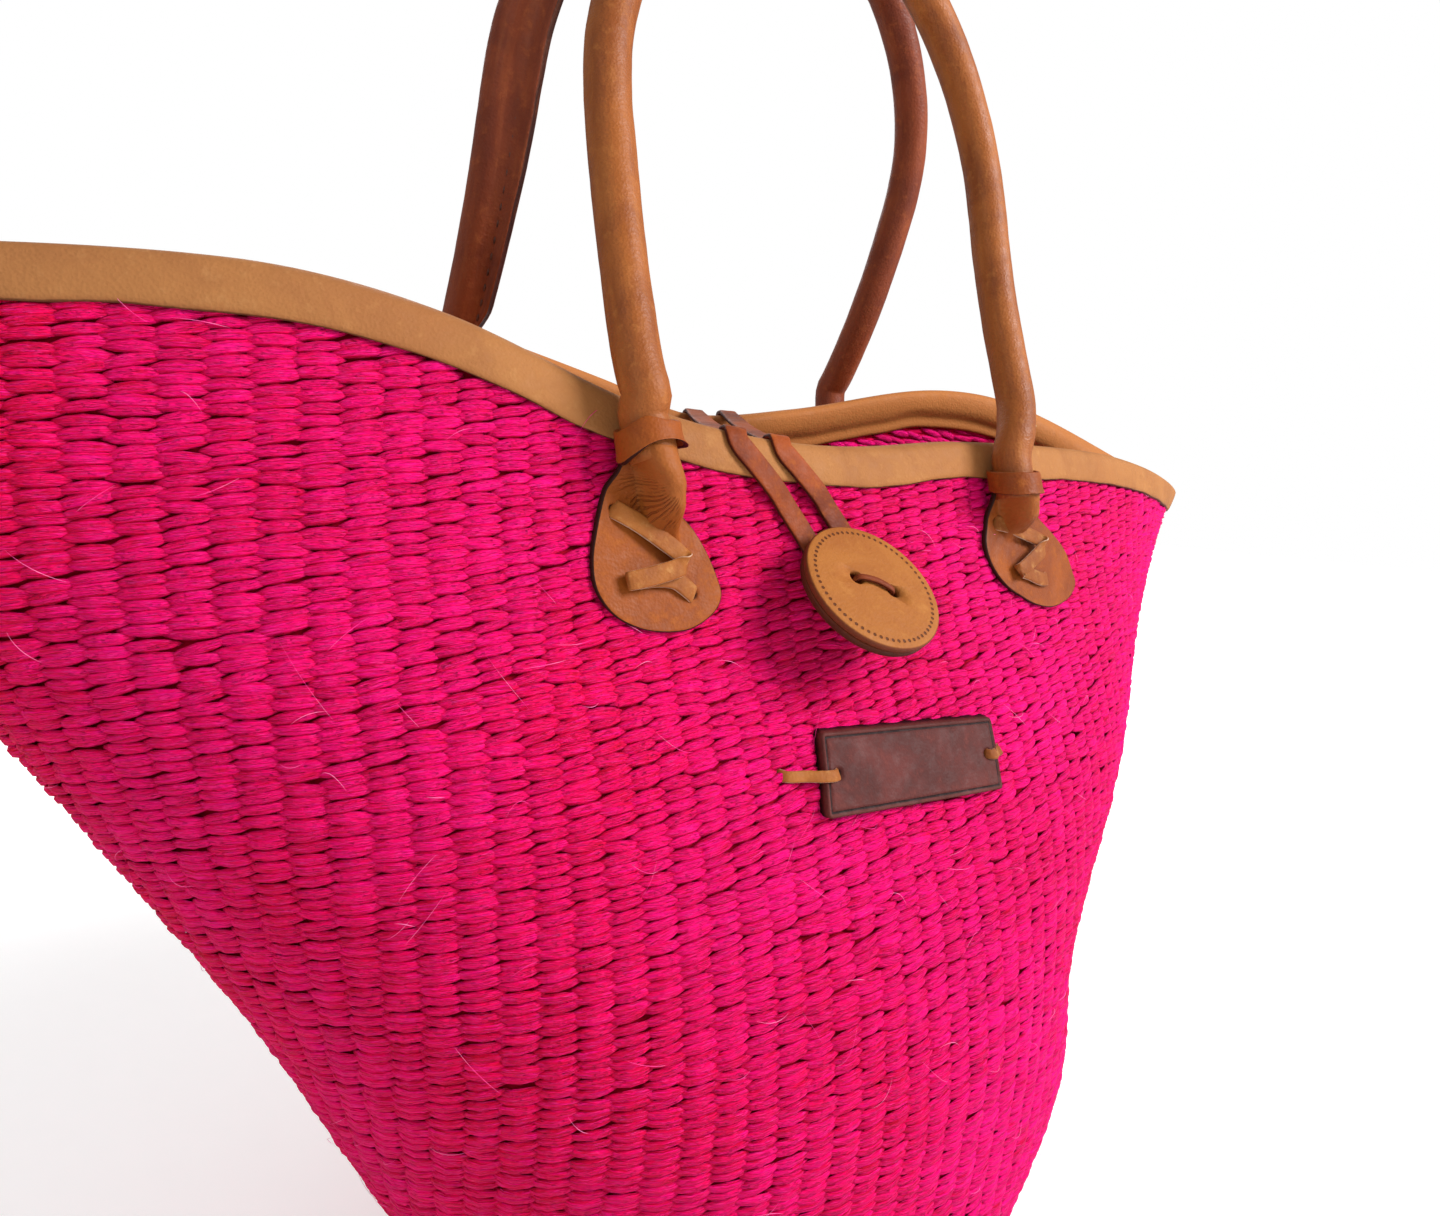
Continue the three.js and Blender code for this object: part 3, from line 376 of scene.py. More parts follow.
def leatherNodes(name, kind, edgeDetail=True, calm=False):
    look = leathers[kind]
    n = Nodes(name)
    patches = n.noise(n.object, 38, 4, 0.6, 0.6)
    fine = n.noise(n.object, 260, 5, 0.65)
    grain = n.cells(n.object, 1150)
    pores = n.cells(n.object, 520)
    base, dark, cutEdgeAndShadeColour = (tint(*look[key], leatherDepth) for key in ("base", "dark", "edge"))
    colour = n.blend(n.span(patches, 0.36, 0.66), dark, base)
    if calm:
        colour = n.blend(n.span(patches, 0.3, 0.7, 0.55, 0.0), base, colour)
    colour = n.over(colour, fine, 0.52, 0.74, 0.55, look["pale"], leatherDepth)
    colour = n.blend(n.span(pores, 0.0, 0.22, 0.3, 0.0), colour, dark)
    # the edge colour goes where the edge mask is high: on most leathers it is painted shade on side walls, edges,
    # creases and holes; on the thong it is the pale cut edge
    if edgeDetail:
        edge = n.parts(n.detail("edgesAndShade"))[0]
        edge = n.plus(edge, n.times(n.minus(fine, 0.5), 0.35))
        colour = n.blend(n.span(edge, 0.62, 0.9), colour, cutEdgeAndShadeColour)
    n.bump(grain, 0.28, 0.00035)
    n.bump(fine, 0.35, 0.0006)
    rough = n.span(fine, 0.3, 0.7, look["rough"] - 0.08, look["rough"] + 0.12)
    return n, colour, rough

def leather(name, kind, calm=False):
    n, colour, rough = leatherNodes(name, kind, calm=calm)
    return n.finish(colour, rough, Specular_IOR_Level=0.16)

# Light: an even pale room, a soft main lamp from the upper right and weaker ones from the left and behind;
# the floor glows towards its edge, so that it runs into a white background
lamps = {
    "main": {"place": (1.0, -1.25, 1.2), "size": 0.8, "power": 50},
    "side": {"place": (-1.3, -0.9, 0.9), "size": 1.0, "power": 5},
    "back": {"place": (0.3, 1.3, 1.2), "size": 0.8, "power": 8},
}

room = {"strength": 0.45, "aim": (0, 0, 0.2), "floorHalf": 6, "fadeFrom": 0.3, "fadeTo": 1.0, "nearGlow": 0.3}

def makeStage():
    world = bpy.data.worlds.new("room")
    bpy.context.scene.world = world
    world.use_nodes = True
    tree = world.node_tree
    background = tree.nodes["Background"]
    path = tree.nodes.new("ShaderNodeLightPath")
    seen = tree.nodes.new("ShaderNodeMapRange")
    tree.links.new(path.outputs["Is Camera Ray"], seen.inputs["Value"])
    seen.inputs["To Min"].default_value = room["strength"]
    seen.inputs["To Max"].default_value = 1.0
    background.inputs["Color"].default_value = (1, 1, 1, 1)
    tree.links.new(seen.outputs[0], background.inputs["Strength"])
    for name, lamp in lamps.items():
        light = bpy.data.lights.new(name, "AREA")
        light.size = lamp["size"]
        light.energy = lamp["power"]
        holder = added(name, light)
        holder.location = lamp["place"]
        holder.rotation_euler = (Vector(room["aim"]) - Vector(lamp["place"])).to_track_quat("-Z", "Y").to_euler()
    bm = bmesh.new()
    bmesh.ops.create_grid(bm, x_segments=4, y_segments=4, size=room["floorHalf"])
    mesh = bpy.data.meshes.new("floor")
    bm.to_mesh(mesh)
    bm.free()
    floor = added("floor", mesh)
    n = Nodes("pale floor")
    fine = n.noise(n.object, 90, 3)
    ray = n.node("ShaderNodeLightPath").outputs["Is Camera Ray"]
    x, y = n.parts(n.object)[:2]
    far = n.length(x, y)
    glow = n.span(far, room["fadeFrom"], room["fadeTo"], room["nearGlow"], 1.0)
    n.feed(n.shader.inputs["Emission Strength"], n.times(ray, glow))
    n.shader.inputs["Emission Color"].default_value = (1, 1, 1, 1)
    mesh.materials.append(n.finish(n.blend(fine, (0.86, 0.86, 0.86, 1), (0.9, 0.9, 0.9, 1)), 0.9))

makeStage()
bpy.context.scene.view_settings.view_transform = "Standard"
print("camera and room ready")

# Woven sisal
weave = {
    "columnPitch": 8.3, "pitchGrowth": 0.006, "rowPitch": 2.75, "slope": 0.05, "tilt": 0.15,
    "length": 1.5, "height": 3.3, "depth": 1.9, "seat": 0.2, "dip": 1.3, "firstHeight": 4.5, "trough": 1.9,
    "levels": 90, "steps": 90, "bindingDrop": 9.0, "innerTopDrop": 14.5, "innerFootDrop": 112,
}

stray = {"count": 170, "length": (4, 12), "lift": (1.7, 2.5), "width": 0.15, "tilt": 0.7, "shift": 4, "curl": 5}

class WeaveChart:  # wall points by distance along the wall from its middle and height, for one side
    def __init__(self, side):
        self.side = side
        self.rises = np.linspace(0, 1, weave["levels"] + 1)
        quarters = np.linspace(1, 0, 500)
        self.points, self.totals, self.rims = {}, {}, {}
        for end in (-1, 1):
            rows, totals, rims = [], [], []
            for rise in self.rises:
                rim = rimHeight(side, end, quarters)
                line = wallPoint(side, end, quarters, np.full_like(quarters, rise), edgeInset(rise * rim))
                arc = travelledAlong(line)
                even = np.linspace(0, arc[-1], weave["steps"] + 1)
                rows.append(np.stack([np.interp(even, arc, line[:, k]) for k in range(3)], -1))
                rims.append(np.interp(even, arc, rim))
                totals.append(arc[-1])
            self.points[end] = np.array(rows)
            self.totals[end] = np.array(totals)
            self.rims[end] = np.array(rims)
        self.normals = {}
        for end in (-1, 1):
            p = self.points[end]
            normal = unit(np.cross(np.gradient(p, axis=0), np.gradient(p, axis=1)))
            outward = np.sign((normal * p * [1, 1, 0]).sum(-1, keepdims=True))
            self.normals[end] = normal * np.where(outward == 0, 1, outward)

    def sample(self, table, rise, share):
        r = np.clip(rise, 0, 1) * weave["levels"]
        u = np.clip(share, 0, 1) * weave["steps"]
        i = np.clip(r.astype(int), 0, weave["levels"] - 1)
        j = np.clip(u.astype(int), 0, weave["steps"] - 1)
        a, b = r - i, u - j
        if table.ndim == 3:
            a, b = a[..., None], b[..., None]
        return (table[i, j] * (1 - a) * (1 - b) + table[i + 1, j] * a * (1 - b)
                + table[i, j + 1] * (1 - a) * b + table[i + 1, j + 1] * a * b)

    def total(self, end, rise):
        return np.interp(rise, self.rises, self.totals[end])

    def riseAt(self, end, arc, height):
        rise = height / wall["height"]
        for _ in range(3):
            share = np.abs(arc) / self.total(end, np.clip(rise, 0, 1))
            rise = height / self.sample(self.rims[end], rise, share)
        return rise, share

    def at(self, arc, height, out):
        point, normal = np.zeros(arc.shape + (3,)), np.zeros(arc.shape + (3,))
        for end in (-1, 1):
            mine = (arc < 0) if end < 0 else (arc >= 0)
            rise, share = self.riseAt(end, arc[mine], height[mine])
            point[mine] = self.sample(self.points[end], rise, share)
            normal[mine] = self.sample(self.normals[end], rise, share)
        return point + unit(normal) * out[..., None]

# One stitch: a slim pillow lying along X, flatter behind
def stitchShape(around, rings):
    bm = bmesh.new()
    bmesh.ops.create_uvsphere(bm, u_segments=around, v_segments=rings, radius=0.5)
    bmesh.ops.rotate(bm, verts=bm.verts, matrix=Matrix.Rotation(math.pi / 2, 3, "Y"))
    for vert in bm.verts:
        vert.co.y *= 1 - 0.25 * abs(2 * vert.co.x) ** 1.5
        if vert.co.z < 0:
            vert.co.z *= 0.5
    bmesh.ops.recalc_face_normals(bm, faces=bm.faces)
    points = np.array([v.co[:] for v in bm.verts])
    faces = [[v.index for v in f.verts] for f in bm.faces]
    bm.free()
    return points, faces

# Where the columns of stitches meet, by distance from the middle: they widen towards the ends
def columnEdges():
    edges = [0.0]
    while edges[-1] < 320:
        edges.append(edges[-1] + weave["columnPitch"] + weave["pitchGrowth"] * edges[-1])
    return np.array(edges)

# Places of all stitches of one side between two heights: arc, height, length
def stitchPlaces(chart, lowest, topDrop, footDrop=None):
    found = []
    edges = columnEdges()
    heights = np.arange(lowest - 24, 350, weave["rowPitch"])
    for end in (-1, 1):
        for near, far in zip(edges, edges[1:]):
            arc = end * (near + far) / 2
            levels = heights - weave["slope"] * arc + chance.uniform(-0.15, 0.15)
            rise, share = chart.riseAt(end, np.full_like(levels, arc), levels)
            outer = np.minimum(far, chart.total(end, np.clip(rise, 0, 1)) + 0.6)
            rim = chart.sample(chart.rims[end], rise, np.clip(share, 0, 1))
            keep = (outer - near > 3) & (levels > lowest) & (levels < rim - topDrop)
            if footDrop:
                keep &= levels > rim - footDrop
            for level, limit in zip(levels[keep], outer[keep]):
                found.append((end * (near + limit) / 2, level, limit - near))
    return np.array(found)

def stitches(name, chart, places, shape, inward=False, thin=1.0, loose=False):
    template, faces = shape
    count = len(places)
    lengths = places[:, 2] * weave["length"] * (1 + 0.05 * chance.normal(size=count))
    heights = weave["height"] * (1 + 0.07 * chance.normal(size=count))
    tilts = weave["tilt"] + 0.05 * chance.normal(size=count)
    lift = weave["seat"] + 0.12 * chance.normal(size=count)
    depths = weave["depth"] * thin * (1 + 0.1 * chance.normal(size=count))
    shift = 0.22 * chance.normal(size=(count, 2))
    if loose:
        lengths = chance.uniform(*stray["length"], count)
        heights = depths = np.full(count, stray["width"])
        tilts, lift = chance.normal(size=count) * stray["tilt"], chance.uniform(*stray["lift"], count)
        shift = chance.normal(size=(count, 2)) * stray["shift"]
    along = template[:, 0][None] * lengths[:, None]
    across = template[:, 1][None] * heights[:, None] + along * tilts[:, None] * (-1 if inward else 1)
    dip = weave["dip"] * thin * (2 * template[:, 0][None]) ** 2
    if loose:
        across = across + chance.normal(size=(count, 1)) * stray["curl"] * template[:, 0][None] ** 2
    out = template[:, 2][None] * depths[:, None] + lift[:, None] - dip
    arcs = places[:, 0][:, None] + shift[:, 0][:, None] + along
    levels = places[:, 1][:, None] + shift[:, 1][:, None] + across
    points = chart.at(arcs, levels, -wall["thickness"] - out if inward else out)
    verts = (points * metre).reshape(-1, 3)
    size = len(template)
    sides = np.array([len(f) for f in faces])
    flat = np.concatenate([f[::-1] for f in faces] if inward else faces)
    mesh = bpy.data.meshes.new(name)
    mesh.vertices.add(count * size)
    mesh.vertices.foreach_set("co", verts.ravel())
    mesh.loops.add(count * len(flat))
    mesh.loops.foreach_set("vertex_index", (flat[None] + np.arange(count)[:, None] * size).ravel())
    mesh.polygons.add(count * len(faces))
    starts = np.concatenate([[0], np.cumsum(sides)[:-1]])
    mesh.polygons.foreach_set("loop_start", (starts[None] + np.arange(count)[:, None] * len(flat)).ravel())
    mesh.polygons.foreach_set("use_smooth", np.ones(count * len(faces), bool))
    tones = chance.uniform(0, 1, count)
    fibre = np.stack(np.broadcast_arrays(template[:, 0][None], template[:, 1][None], tones[:, None]), -1).reshape(-1, 3)
    mesh.attributes.new("fibre", "FLOAT_VECTOR", "POINT").data.foreach_set("vector", fibre.astype(np.float32).ravel())
    mesh.update(calc_edges=True)
    mesh.validate()
    bm = bmesh.new()
    bm.from_mesh(mesh)
    bmesh.ops.recalc_face_normals(bm, faces=bm.faces)
    bm.to_mesh(mesh)
    bm.free()
    return mesh

def sisal():
    n = Nodes("dyed sisal")
    x, y, z = n.parts(n.detail("fibre"))[:3]
    tone = n.times(z, 37)
    strands = n.joined(n.math("MULTIPLY_ADD", x, 2.0, tone), n.times(n.math("MULTIPLY_ADD", x, 0.12, y), 13), tone)
    streaks = n.noise(strands, 1.0, 3, 0.6)
    fine = n.noise(n.joined(n.times(x, 5), n.times(y, 42), tone), 1.0, 2)
    slow = n.noise(n.object, 11, 3)
    place = n.parts(n.object)
    # painted light and shade: the stitches run redder and darker towards the basket's left end and brighter magenta
    # towards its right, as light falls from the right
    colour = n.blend(n.span(place[0], -0.2, 0.12), tint(248, 0, 80), tint(255, 0, 124))
    colour = n.over(colour, slow, 0.42, 0.68, 0.4, (255, 8, 140))
    colour = n.over(colour, slow, 0.55, 0.3, 0.45, (214, 0, 52))
    colour = n.over(colour, z, 0.3, 1.0, 0.4, (200, 0, 48))
    colour = n.over(colour, streaks, 0.5, 0.7, 0.75, (255, 8, 140))
    # pale fine streaks: paler strands, with painted sheen along them
    colour = n.over(colour, fine, 0.55, 0.7, 0.6, (255, 74, 170))
    colour = n.over(colour, streaks, 0.5, 0.34, 0.85, (204, 0, 42))
    # painted shade: each stitch darkens towards its ends, where it dips between columns, and along its lower edge,
    # where shade falls beneath it
    ends = n.size(x)
    colour = n.over(colour, ends, 0.28, 0.47, 0.6, (212, 0, 54))
    colour = n.over(colour, y, -0.28, -0.46, 0.7, (196, 0, 44))
    n.bump(streaks, 1.0, 0.0012)
    n.bump(fine, 0.6, 0.0003)
    return n.finish(colour, n.span(streaks, 0.3, 0.7, 0.6, 0.8), Specular_IOR_Level=0.08)

def sisalGround():
    n = Nodes("sisal behind the stitches")
    x, y, inside = n.parts(n.detail("lattice"))[:3]
    column = n.math("FRACT", x)
    row = n.math("FRACT", n.math("MULTIPLY_ADD", column, -0.5, y))
    rib = n.math("SINE", n.times(column, math.pi))
    turn = n.math("SINE", n.times(row, math.pi))
    relief = n.times(n.math("POWER", rib, 0.6), n.math("POWER", turn, 0.7))
    number = n.plus(n.math("FLOOR", x), n.times(n.math("FLOOR", y), 7.31))
    tone = n.node("ShaderNodeTexWhiteNoise", {"noise_dimensions": "1D"}, W=number).outputs[0]
    streaks = n.noise(n.joined(n.times(x, 1.3), n.times(y, 6), tone), 2.0, 3, 0.6)
    # painted shade: the ground darkens in the hollows between ribs and rows
    woven = n.blend(n.span(relief, 0.1, 0.75), tint(206, 0, 50), tint(240, 0, 86))
    woven = n.over(woven, streaks, 0.5, 0.75, 0.5, (236, 30, 110))
    woven = n.blend(n.span(tone, 0.0, 1.0, 0.25, 0.0), woven, tint(176, 0, 44))
    # painted shade: the inside surfaces take a darker colour, for the shade inside the basket
    colour = n.blend(inside, n.blend(streaks, tint(150, 0, 30), tint(190, 0, 44)), woven)
    n.bump(n.times(relief, inside), 0.9, 0.0016)
    n.bump(streaks, 0.4, 0.0004)
    return n.finish(colour, 0.8, Specular_IOR_Level=0.06)

def strayFibre():
    n = Nodes("loose fibre")
    patchy = n.noise(n.object, 90, 2)
    return n.finish(n.blend(n.span(patchy, 0.4, 0.6), tint(255, 50, 150), tint(255, 130, 190)), 0.6, Specular_IOR_Level=0.2)

sisalStitch = sisal()
sisalStray = strayFibre()
groundMaterial = sisalGround()

# The closed shell behind the stitches: stations from the base's middle out, up to the rim and back down inside
def shellMesh():
    trough = weave["trough"]
    stations = [("base", share) for share in (0, 0.25, 0.5, 0.75, 0.92)]
    stations += [("outer", rise) for rise in np.linspace(0.0, 1, 46)]
    stations += [("inner", rise) for rise in np.linspace(1, 0.03, 42)]
    stations += [("floor", share) for share in (0.92, 0.75, 0.5, 0.25, 0)]
    last = len(stations) - 1

    def shellPoint(kind, value, around):
        side, end, quarter = ringOf(around)
        result = np.zeros((len(around), 3))
        for one in (front, rear):
            mine = side == one
            e, q = end[mine], quarter[mine]
            rim = rimHeight(one, e, q)
            if kind == "outer":
                height = 0.6 + value * (rim - 1.2)
                result[mine] = wallPoint(one, e, q, height / rim, trough + edgeInset(height))
            elif kind == "inner":
                height = wall["floor"] + value * (rim - 1.2 - wall["floor"])
                result[mine] = wallPoint(one, e, q, height / rim, wall["thickness"] - 0.6)
            else:
                height = 0.6 if kind == "base" else wall["floor"]
                inset = wall["edgeRadius"] + trough if kind == "base" else wall["thickness"] + 4
                edge = wallPoint(one, e, q, np.full_like(q, height) / rim, inset)
                result[mine] = edge * [value, value, 1] if value < 1 else edge
        return result

    def place(around, along):
        rows = np.rint(along * last).astype(int)
        result = np.zeros((len(around), 3))
        for row in range(last + 1):
            mine = rows == row
            result[mine] = shellPoint(*stations[row], around[mine])
        return result

    def lattice(around, along):
        rows = np.rint(along * last).astype(int)
        side, end, quarter = ringOf(around)
        points = place(around, along)
        arc = (1 - quarter) * 200 * end
        kinds = np.array([stations[r][0] for r in rows])
        flat = (kinds == "base") | (kinds == "floor")
        radius = np.hypot(points[:, 0], points[:, 1])
        inside = np.where(kinds == "outer", 0.0, 1.0)
        return packed(arc / weave["columnPitch"], np.where(flat, radius, points[:, 2]) / weave["rowPitch"], inside)
    return bent("basket_shell", 176, last, place, {"lattice": lattice})

linked("basket_shell", shellMesh(), groundMaterial, "basket", ["woven_body"])
charts = {side: WeaveChart(side) for side in (front, rear)}
outerShape, innerShape = stitchShape(6, 6), stitchShape(5, 5)
for side, chart in charts.items():
    which = "front" if side == front else "rear"
    places = stitchPlaces(chart, weave["firstHeight"], weave["bindingDrop"])
    order = places[:, 1] < np.median(places[:, 1])
    for level, mine in (("lower", order), ("upper", ~order)):
        name = f"{which}_{level}_stitches"
        linked(name, stitches(name, chart, places[mine], outerShape), sisalStitch, "basket")
        print(name, int(mine.sum()))
    name = f"{which}_stray_fibres"
    chosen = places[chance.choice(len(places), stray["count"], replace=False)]
    linked(name, stitches(name, chart, chosen, stitchShape(4, 10), loose=True), sisalStray, "basket")
    name = f"{which}_inner_stitches"
    inner = stitchPlaces(chart, 20, weave["innerTopDrop"], weave["innerFootDrop"])
    linked(name, stitches(name, chart, inner, innerShape, inward=True, thin=0.6), sisalStitch, "basket")
print("weave made")

# Leather folded over the rim: its section as (out, drop), from the outer foot over the top to the inner foot
binding = {
    "section": [(0.4, 10.2), (1.6, 10.35), (2.1, 9.6), (2.35, 7), (2.35, 3.5), (2.1, 0.8), (1.2, -1.1), (-1.2, -2.0),
                (-5, -2.15), (-8.4, -1.6), (-10.1, 0.4), (-10.6, 3.5), (-10.2, 6.8), (-8.8, 9.2), (-7.2, 10.3), (-6.9, 11.6),
                (-7.3, 13.2), (-7.1, 14.9), (-6.2, 15.2), (-5.4, 14.6), (-5.3, 12), (-6.4, 9.8), (-8.2, 8.6), (-8.3, 4),
                (-8.1, -0.1), (-4, -0.3), (0.3, -0.3), (0.35, 4)],
    "wave": 0.35, "footWave": 0.7, "columns": 360,
}

def bindingMesh():
    outline = np.array(binding["section"] + binding["section"][:1], float)
    travelled = travelledAlong(outline)
    travelled /= travelled[-1]

    def section(around):
        return np.interp(around, travelled, outline[:, 0]), np.interp(around, travelled, outline[:, 1])

    def place(along, around):
        side, end, quarter = ringOf(along)
        out, drop = section(around)
        angle = 2 * np.pi * along
        puff = binding["wave"] * uneven(11, np.cos(angle) * 9, np.sin(angle) * 9, drop * 0.12)
        out = out + np.where(out > 1.5, puff, 0)
        drop = drop + np.where(drop > 8, binding["footWave"] * uneven(5, np.cos(angle) * 12, np.sin(angle) * 12), 0)
        result = np.zeros((len(along), 3))
        for one in (front, rear):
            mine = side == one
            rim = rimHeight(one, end[mine], quarter[mine])
            # above the rim wallPoint keeps the mouth's section, so only the height grows
            result[mine] = wallPoint(one, end[mine], quarter[mine], 1 - drop[mine] / rim, -out[mine])
        return result

    def edgesAndShade(along, around):
        out, drop = section(around)
        # painted shade: the mask darkens both lower edges of the binding, where shade falls along them, and the groove
        # on its inner side
        edge = np.where(out > 0, smooth(drop, 9.2, 10.3), smooth(drop, 14.2, 15.2))
        grooveShade = np.where(out < -5, np.exp(-((drop - 10.6) / 0.9) ** 2), 0)
        return packed(np.maximum(edge, grooveShade * 0.8), along * 120, np.where(out < -2, 1, 0))
    return bent("rim_leather", binding["columns"], 56, place, {"edgesAndShade": edgesAndShade}, capped=False)

def rimLeather():
    n, colour, rough = leatherNodes("rim leather", "rim", calm=True)
    place = n.parts(n.object)
    back = n.span(place[1], -0.01, 0.02)
    warm = n.blend(0.75, colour, tint(*leathers["rearRim"]["base"], 0.86))
    colour = n.blend(back, colour, warm)
    # painted shade: the binding darkens towards the basket's left end, where the lamps light it less
    leftEndShade = n.span(place[0], -0.26, -0.05, 0.35, 0.0)
    colour = n.blend(leftEndShade, colour, tint(142, 94, 56))
    stains = n.noise(n.object, 24, 3, 0.6, 1.0)
    colour = n.over(colour, stains, 0.5, 0.8, 0.3, (154, 92, 52))
    return n.finish(colour, rough, Specular_IOR_Level=0.14)

linked("rim_leather", bindingMesh(), rimLeather(), "basket", ["rim_binding"])
print("rim made")

# Handles: feet are the wall places (x, drop, out) of their lowest stops, bends how far a leg leaves
# the CAD's line near its hinge, seamTurns the degrees the seam is turned from inward at the left and right
tube = {"radius": 6.5, "flangeHalf": 1.5, "lipAngle": 0.5, "backOut": 4.1, "height": 165, "shoulder": 0.5, "hingeRise": 5,
        "columns": 60, "rows": 190}
handles = {
    "front": {"side": front, "middle": -6.9, "spacing": 152.2, "lean": 23.5, "bow": 31, "leather": "grip",
              "seamTurns": (-35, 35), "flange": (3.2, 3.6), "bends": [[1.0, 0.3, 0, 0], [-5.2, -2.6, -0.5, 0]],
              "feet": [[(-79.8, 12, 10.2), (-81.0, 7, 10.6), (-82.2, 1, 10.6)],
                       [(62.4, 16, 10.0), (61.9, 10, 10.6), (62.3, 2, 10.6)]]},
    "rear": {"side": rear, "middle": -1.5, "spacing": 172.7, "lean": 34, "bow": 52, "leather": "rearGrip",
             "seamTurns": (30, 215), "flange": (4.6, 8.0), "bends": [[0, 0, 0, 0], [0, 0, 0, 0]],
             "feet": [[(-87.6, 15, 10.0), (-87.8, 9, 10.6), (-87.8, 2, 10.6)],
                      [(84.6, 15, 10.0), (84.8, 9, 10.6), (84.8, 2, 10.6)]]},
}

def legX(handle, hand):
    return handle["middle"] + hand * handle["spacing"] / 2

def hingeOf(handle):
    feet = [wallAt(handle["side"], legX(handle, hand), 0, tube["backOut"]) for hand in (-1, 1)]
    y = handle["side"] * (max(abs(foot[1]) for foot in feet) + 2 * tube["radius"])
    return np.array([handle["middle"], y, max(foot[2] for foot in feet) + tube["hingeRise"]])

# Middle line of a handle's leather, from inside one band over the arch into the other
def handleLine(handle):
    side, lean = handle["side"], math.radians(handle["lean"]) * handle["side"]
    hinge = hingeOf(handle)
    legHeight = tube["height"] * (1 - tube["shoulder"])
    arch = tube["height"] - legHeight
    low = [0, 6, 13, 22]
    reach = handle["spacing"] / 2
    straight = np.linspace(34, legHeight, 5)[:-1]
    legs = [[(hand * reach + bend, z) for z, bend in zip(low, bends)] + [(hand * reach, z) for z in straight]
            for hand, bends in zip((-1, 1), handle["bends"])]
    over = [(-reach * math.cos(a), legHeight + arch * math.sin(a)) for a in np.linspace(0, math.pi, 19)]
    line = []
    for x, z in legs[0] + over + legs[1][::-1]:
        y = -side * tube["radius"] + side * handle["bow"] * (z / tube["height"]) ** 2
        line.append(hinge + [x, y * math.cos(lean) - z * math.sin(lean), y * math.sin(lean) + z * math.cos(lean)])
    feet = [[wallAt(side, *foot) for foot in stops] for stops in handle["feet"]]
    return np.array(feet[0] + line + feet[1][::-1])

def gripMesh(name, handle):
    points = smoothed(handleLine(handle), 10)
    travelled = travelledAlong(points)
    even = np.linspace(0, travelled[-1], tube["rows"] + 1)
    points = np.stack([np.interp(even, travelled, points[:, k]) for k in range(3)], -1)
    tangents = unit(np.gradient(points, axis=0))
    inward = np.array([0, -handle["side"], 0.0])
    straight = unit(inward - (tangents @ inward)[:, None] * tangents)
    sideways = np.cross(tangents, straight)
    turn = np.radians(mix(*handle["seamTurns"], smooth(even / even[-1], 0.32, 0.68)))[:, None]
    towards = straight * np.cos(turn) + sideways * np.sin(turn)
    across = sideways * np.cos(turn) - straight * np.sin(turn)
    ends = np.minimum(even, even[-1] - even)
    flange = mix(*handle["flange"], smooth(ends, 30, 110)) * smooth(ends, 20, 36)

    def angleOf(around):
        half = 2 * (around - 0.5)
        return np.sign(half) * np.pi * np.abs(half) ** 1.6

    def place(around, along):
        row = np.rint(along * tube["rows"]).astype(int)
        angle = angleOf(around)
        c, s = np.cos(angle), np.sin(angle)
        radius = tube["radius"] * (1 + 0.015 * uneven(21, along * 34, c) + 0.01 * uneven(8, along * 90, s * 2))
        lip = np.clip(1 - np.abs(angle) / tube["lipAngle"], 0, 1)
        shown = smooth(flange[row], 0, 1.5)
        seamHalf, seamOut = math.sin(tube["lipAngle"]) * tube["radius"], math.cos(tube["lipAngle"])
        thick = mix(seamHalf, tube["flangeHalf"], smooth(lip, 0, 0.35) * shown)
        tip = np.sqrt(np.clip(1 - (np.clip(lip - 0.86, 0, 1) / 0.14) ** 2, 0, 1))
        raised = radius * seamOut + flange[row] * lip ** 0.9 + 0.8 * lip
        u = np.where(lip > 0, mix(radius * c, raised, shown), radius * c)
        u = u - np.exp(-(angle / 0.012) ** 2) * 0.7 * shown
        v = np.where((lip > 0) & (flange[row] > 0.2), np.sign(s) * thick * mix(1, np.maximum(tip, 0.2), shown), radius * s)
        return points[row] + towards[row] * u[:, None] + across[row] * v[:, None]

    def edgesAndShade(around, along):
        angle = angleOf(around)
        # the mask darkens the flange's cut tip and, as painted shade, the crease where the flange meets the tube
        edge = np.exp(-(angle / 0.06) ** 2) + 0.5 * np.exp(-((np.abs(angle) - tube["lipAngle"]) / 0.05) ** 2)
        return packed(edge * smooth(flange[np.rint(along * tube["rows"]).astype(int)], 0.5, 2), along * 60, around)
    mesh = bent(name, tube["columns"], tube["rows"], place, {"edgesAndShade": edgesAndShade})
    return mesh, points, towards, across, flange

def seamStitches(name, points, towards, across, flange):
    bm = bmesh.new()
    for row in range(0, len(points) - 1, 2):
        if flange[row] < 3:
            continue
        tangent = unit(points[row + 1] - points[row])
        for hand in (-1, 1):
            middle = points[row] + towards[row] * (tube["radius"] + 1.3) + across[row] * hand * (tube["flangeHalf"] + 0.1)
            made = bmesh.ops.create_uvsphere(bm, u_segments=6, v_segments=4, radius=0.5)
            basis = Matrix((tangent * 3.0, across[row] * 0.8, towards[row] * 0.8)).transposed()
            for vert in made["verts"]:
                vert.co = (Vector(middle) + basis @ vert.co) * metre
    return finished(bm, name)

def seamThread():
    n = Nodes("waxed thread")
    fine = n.noise(n.object, 900, 3)
    n.bump(fine, 0.5, 0.0003)
    return n.finish(n.blend(fine, tint(52, 24, 18), tint(104, 56, 36)), 0.5, Specular_IOR_Level=0.4)

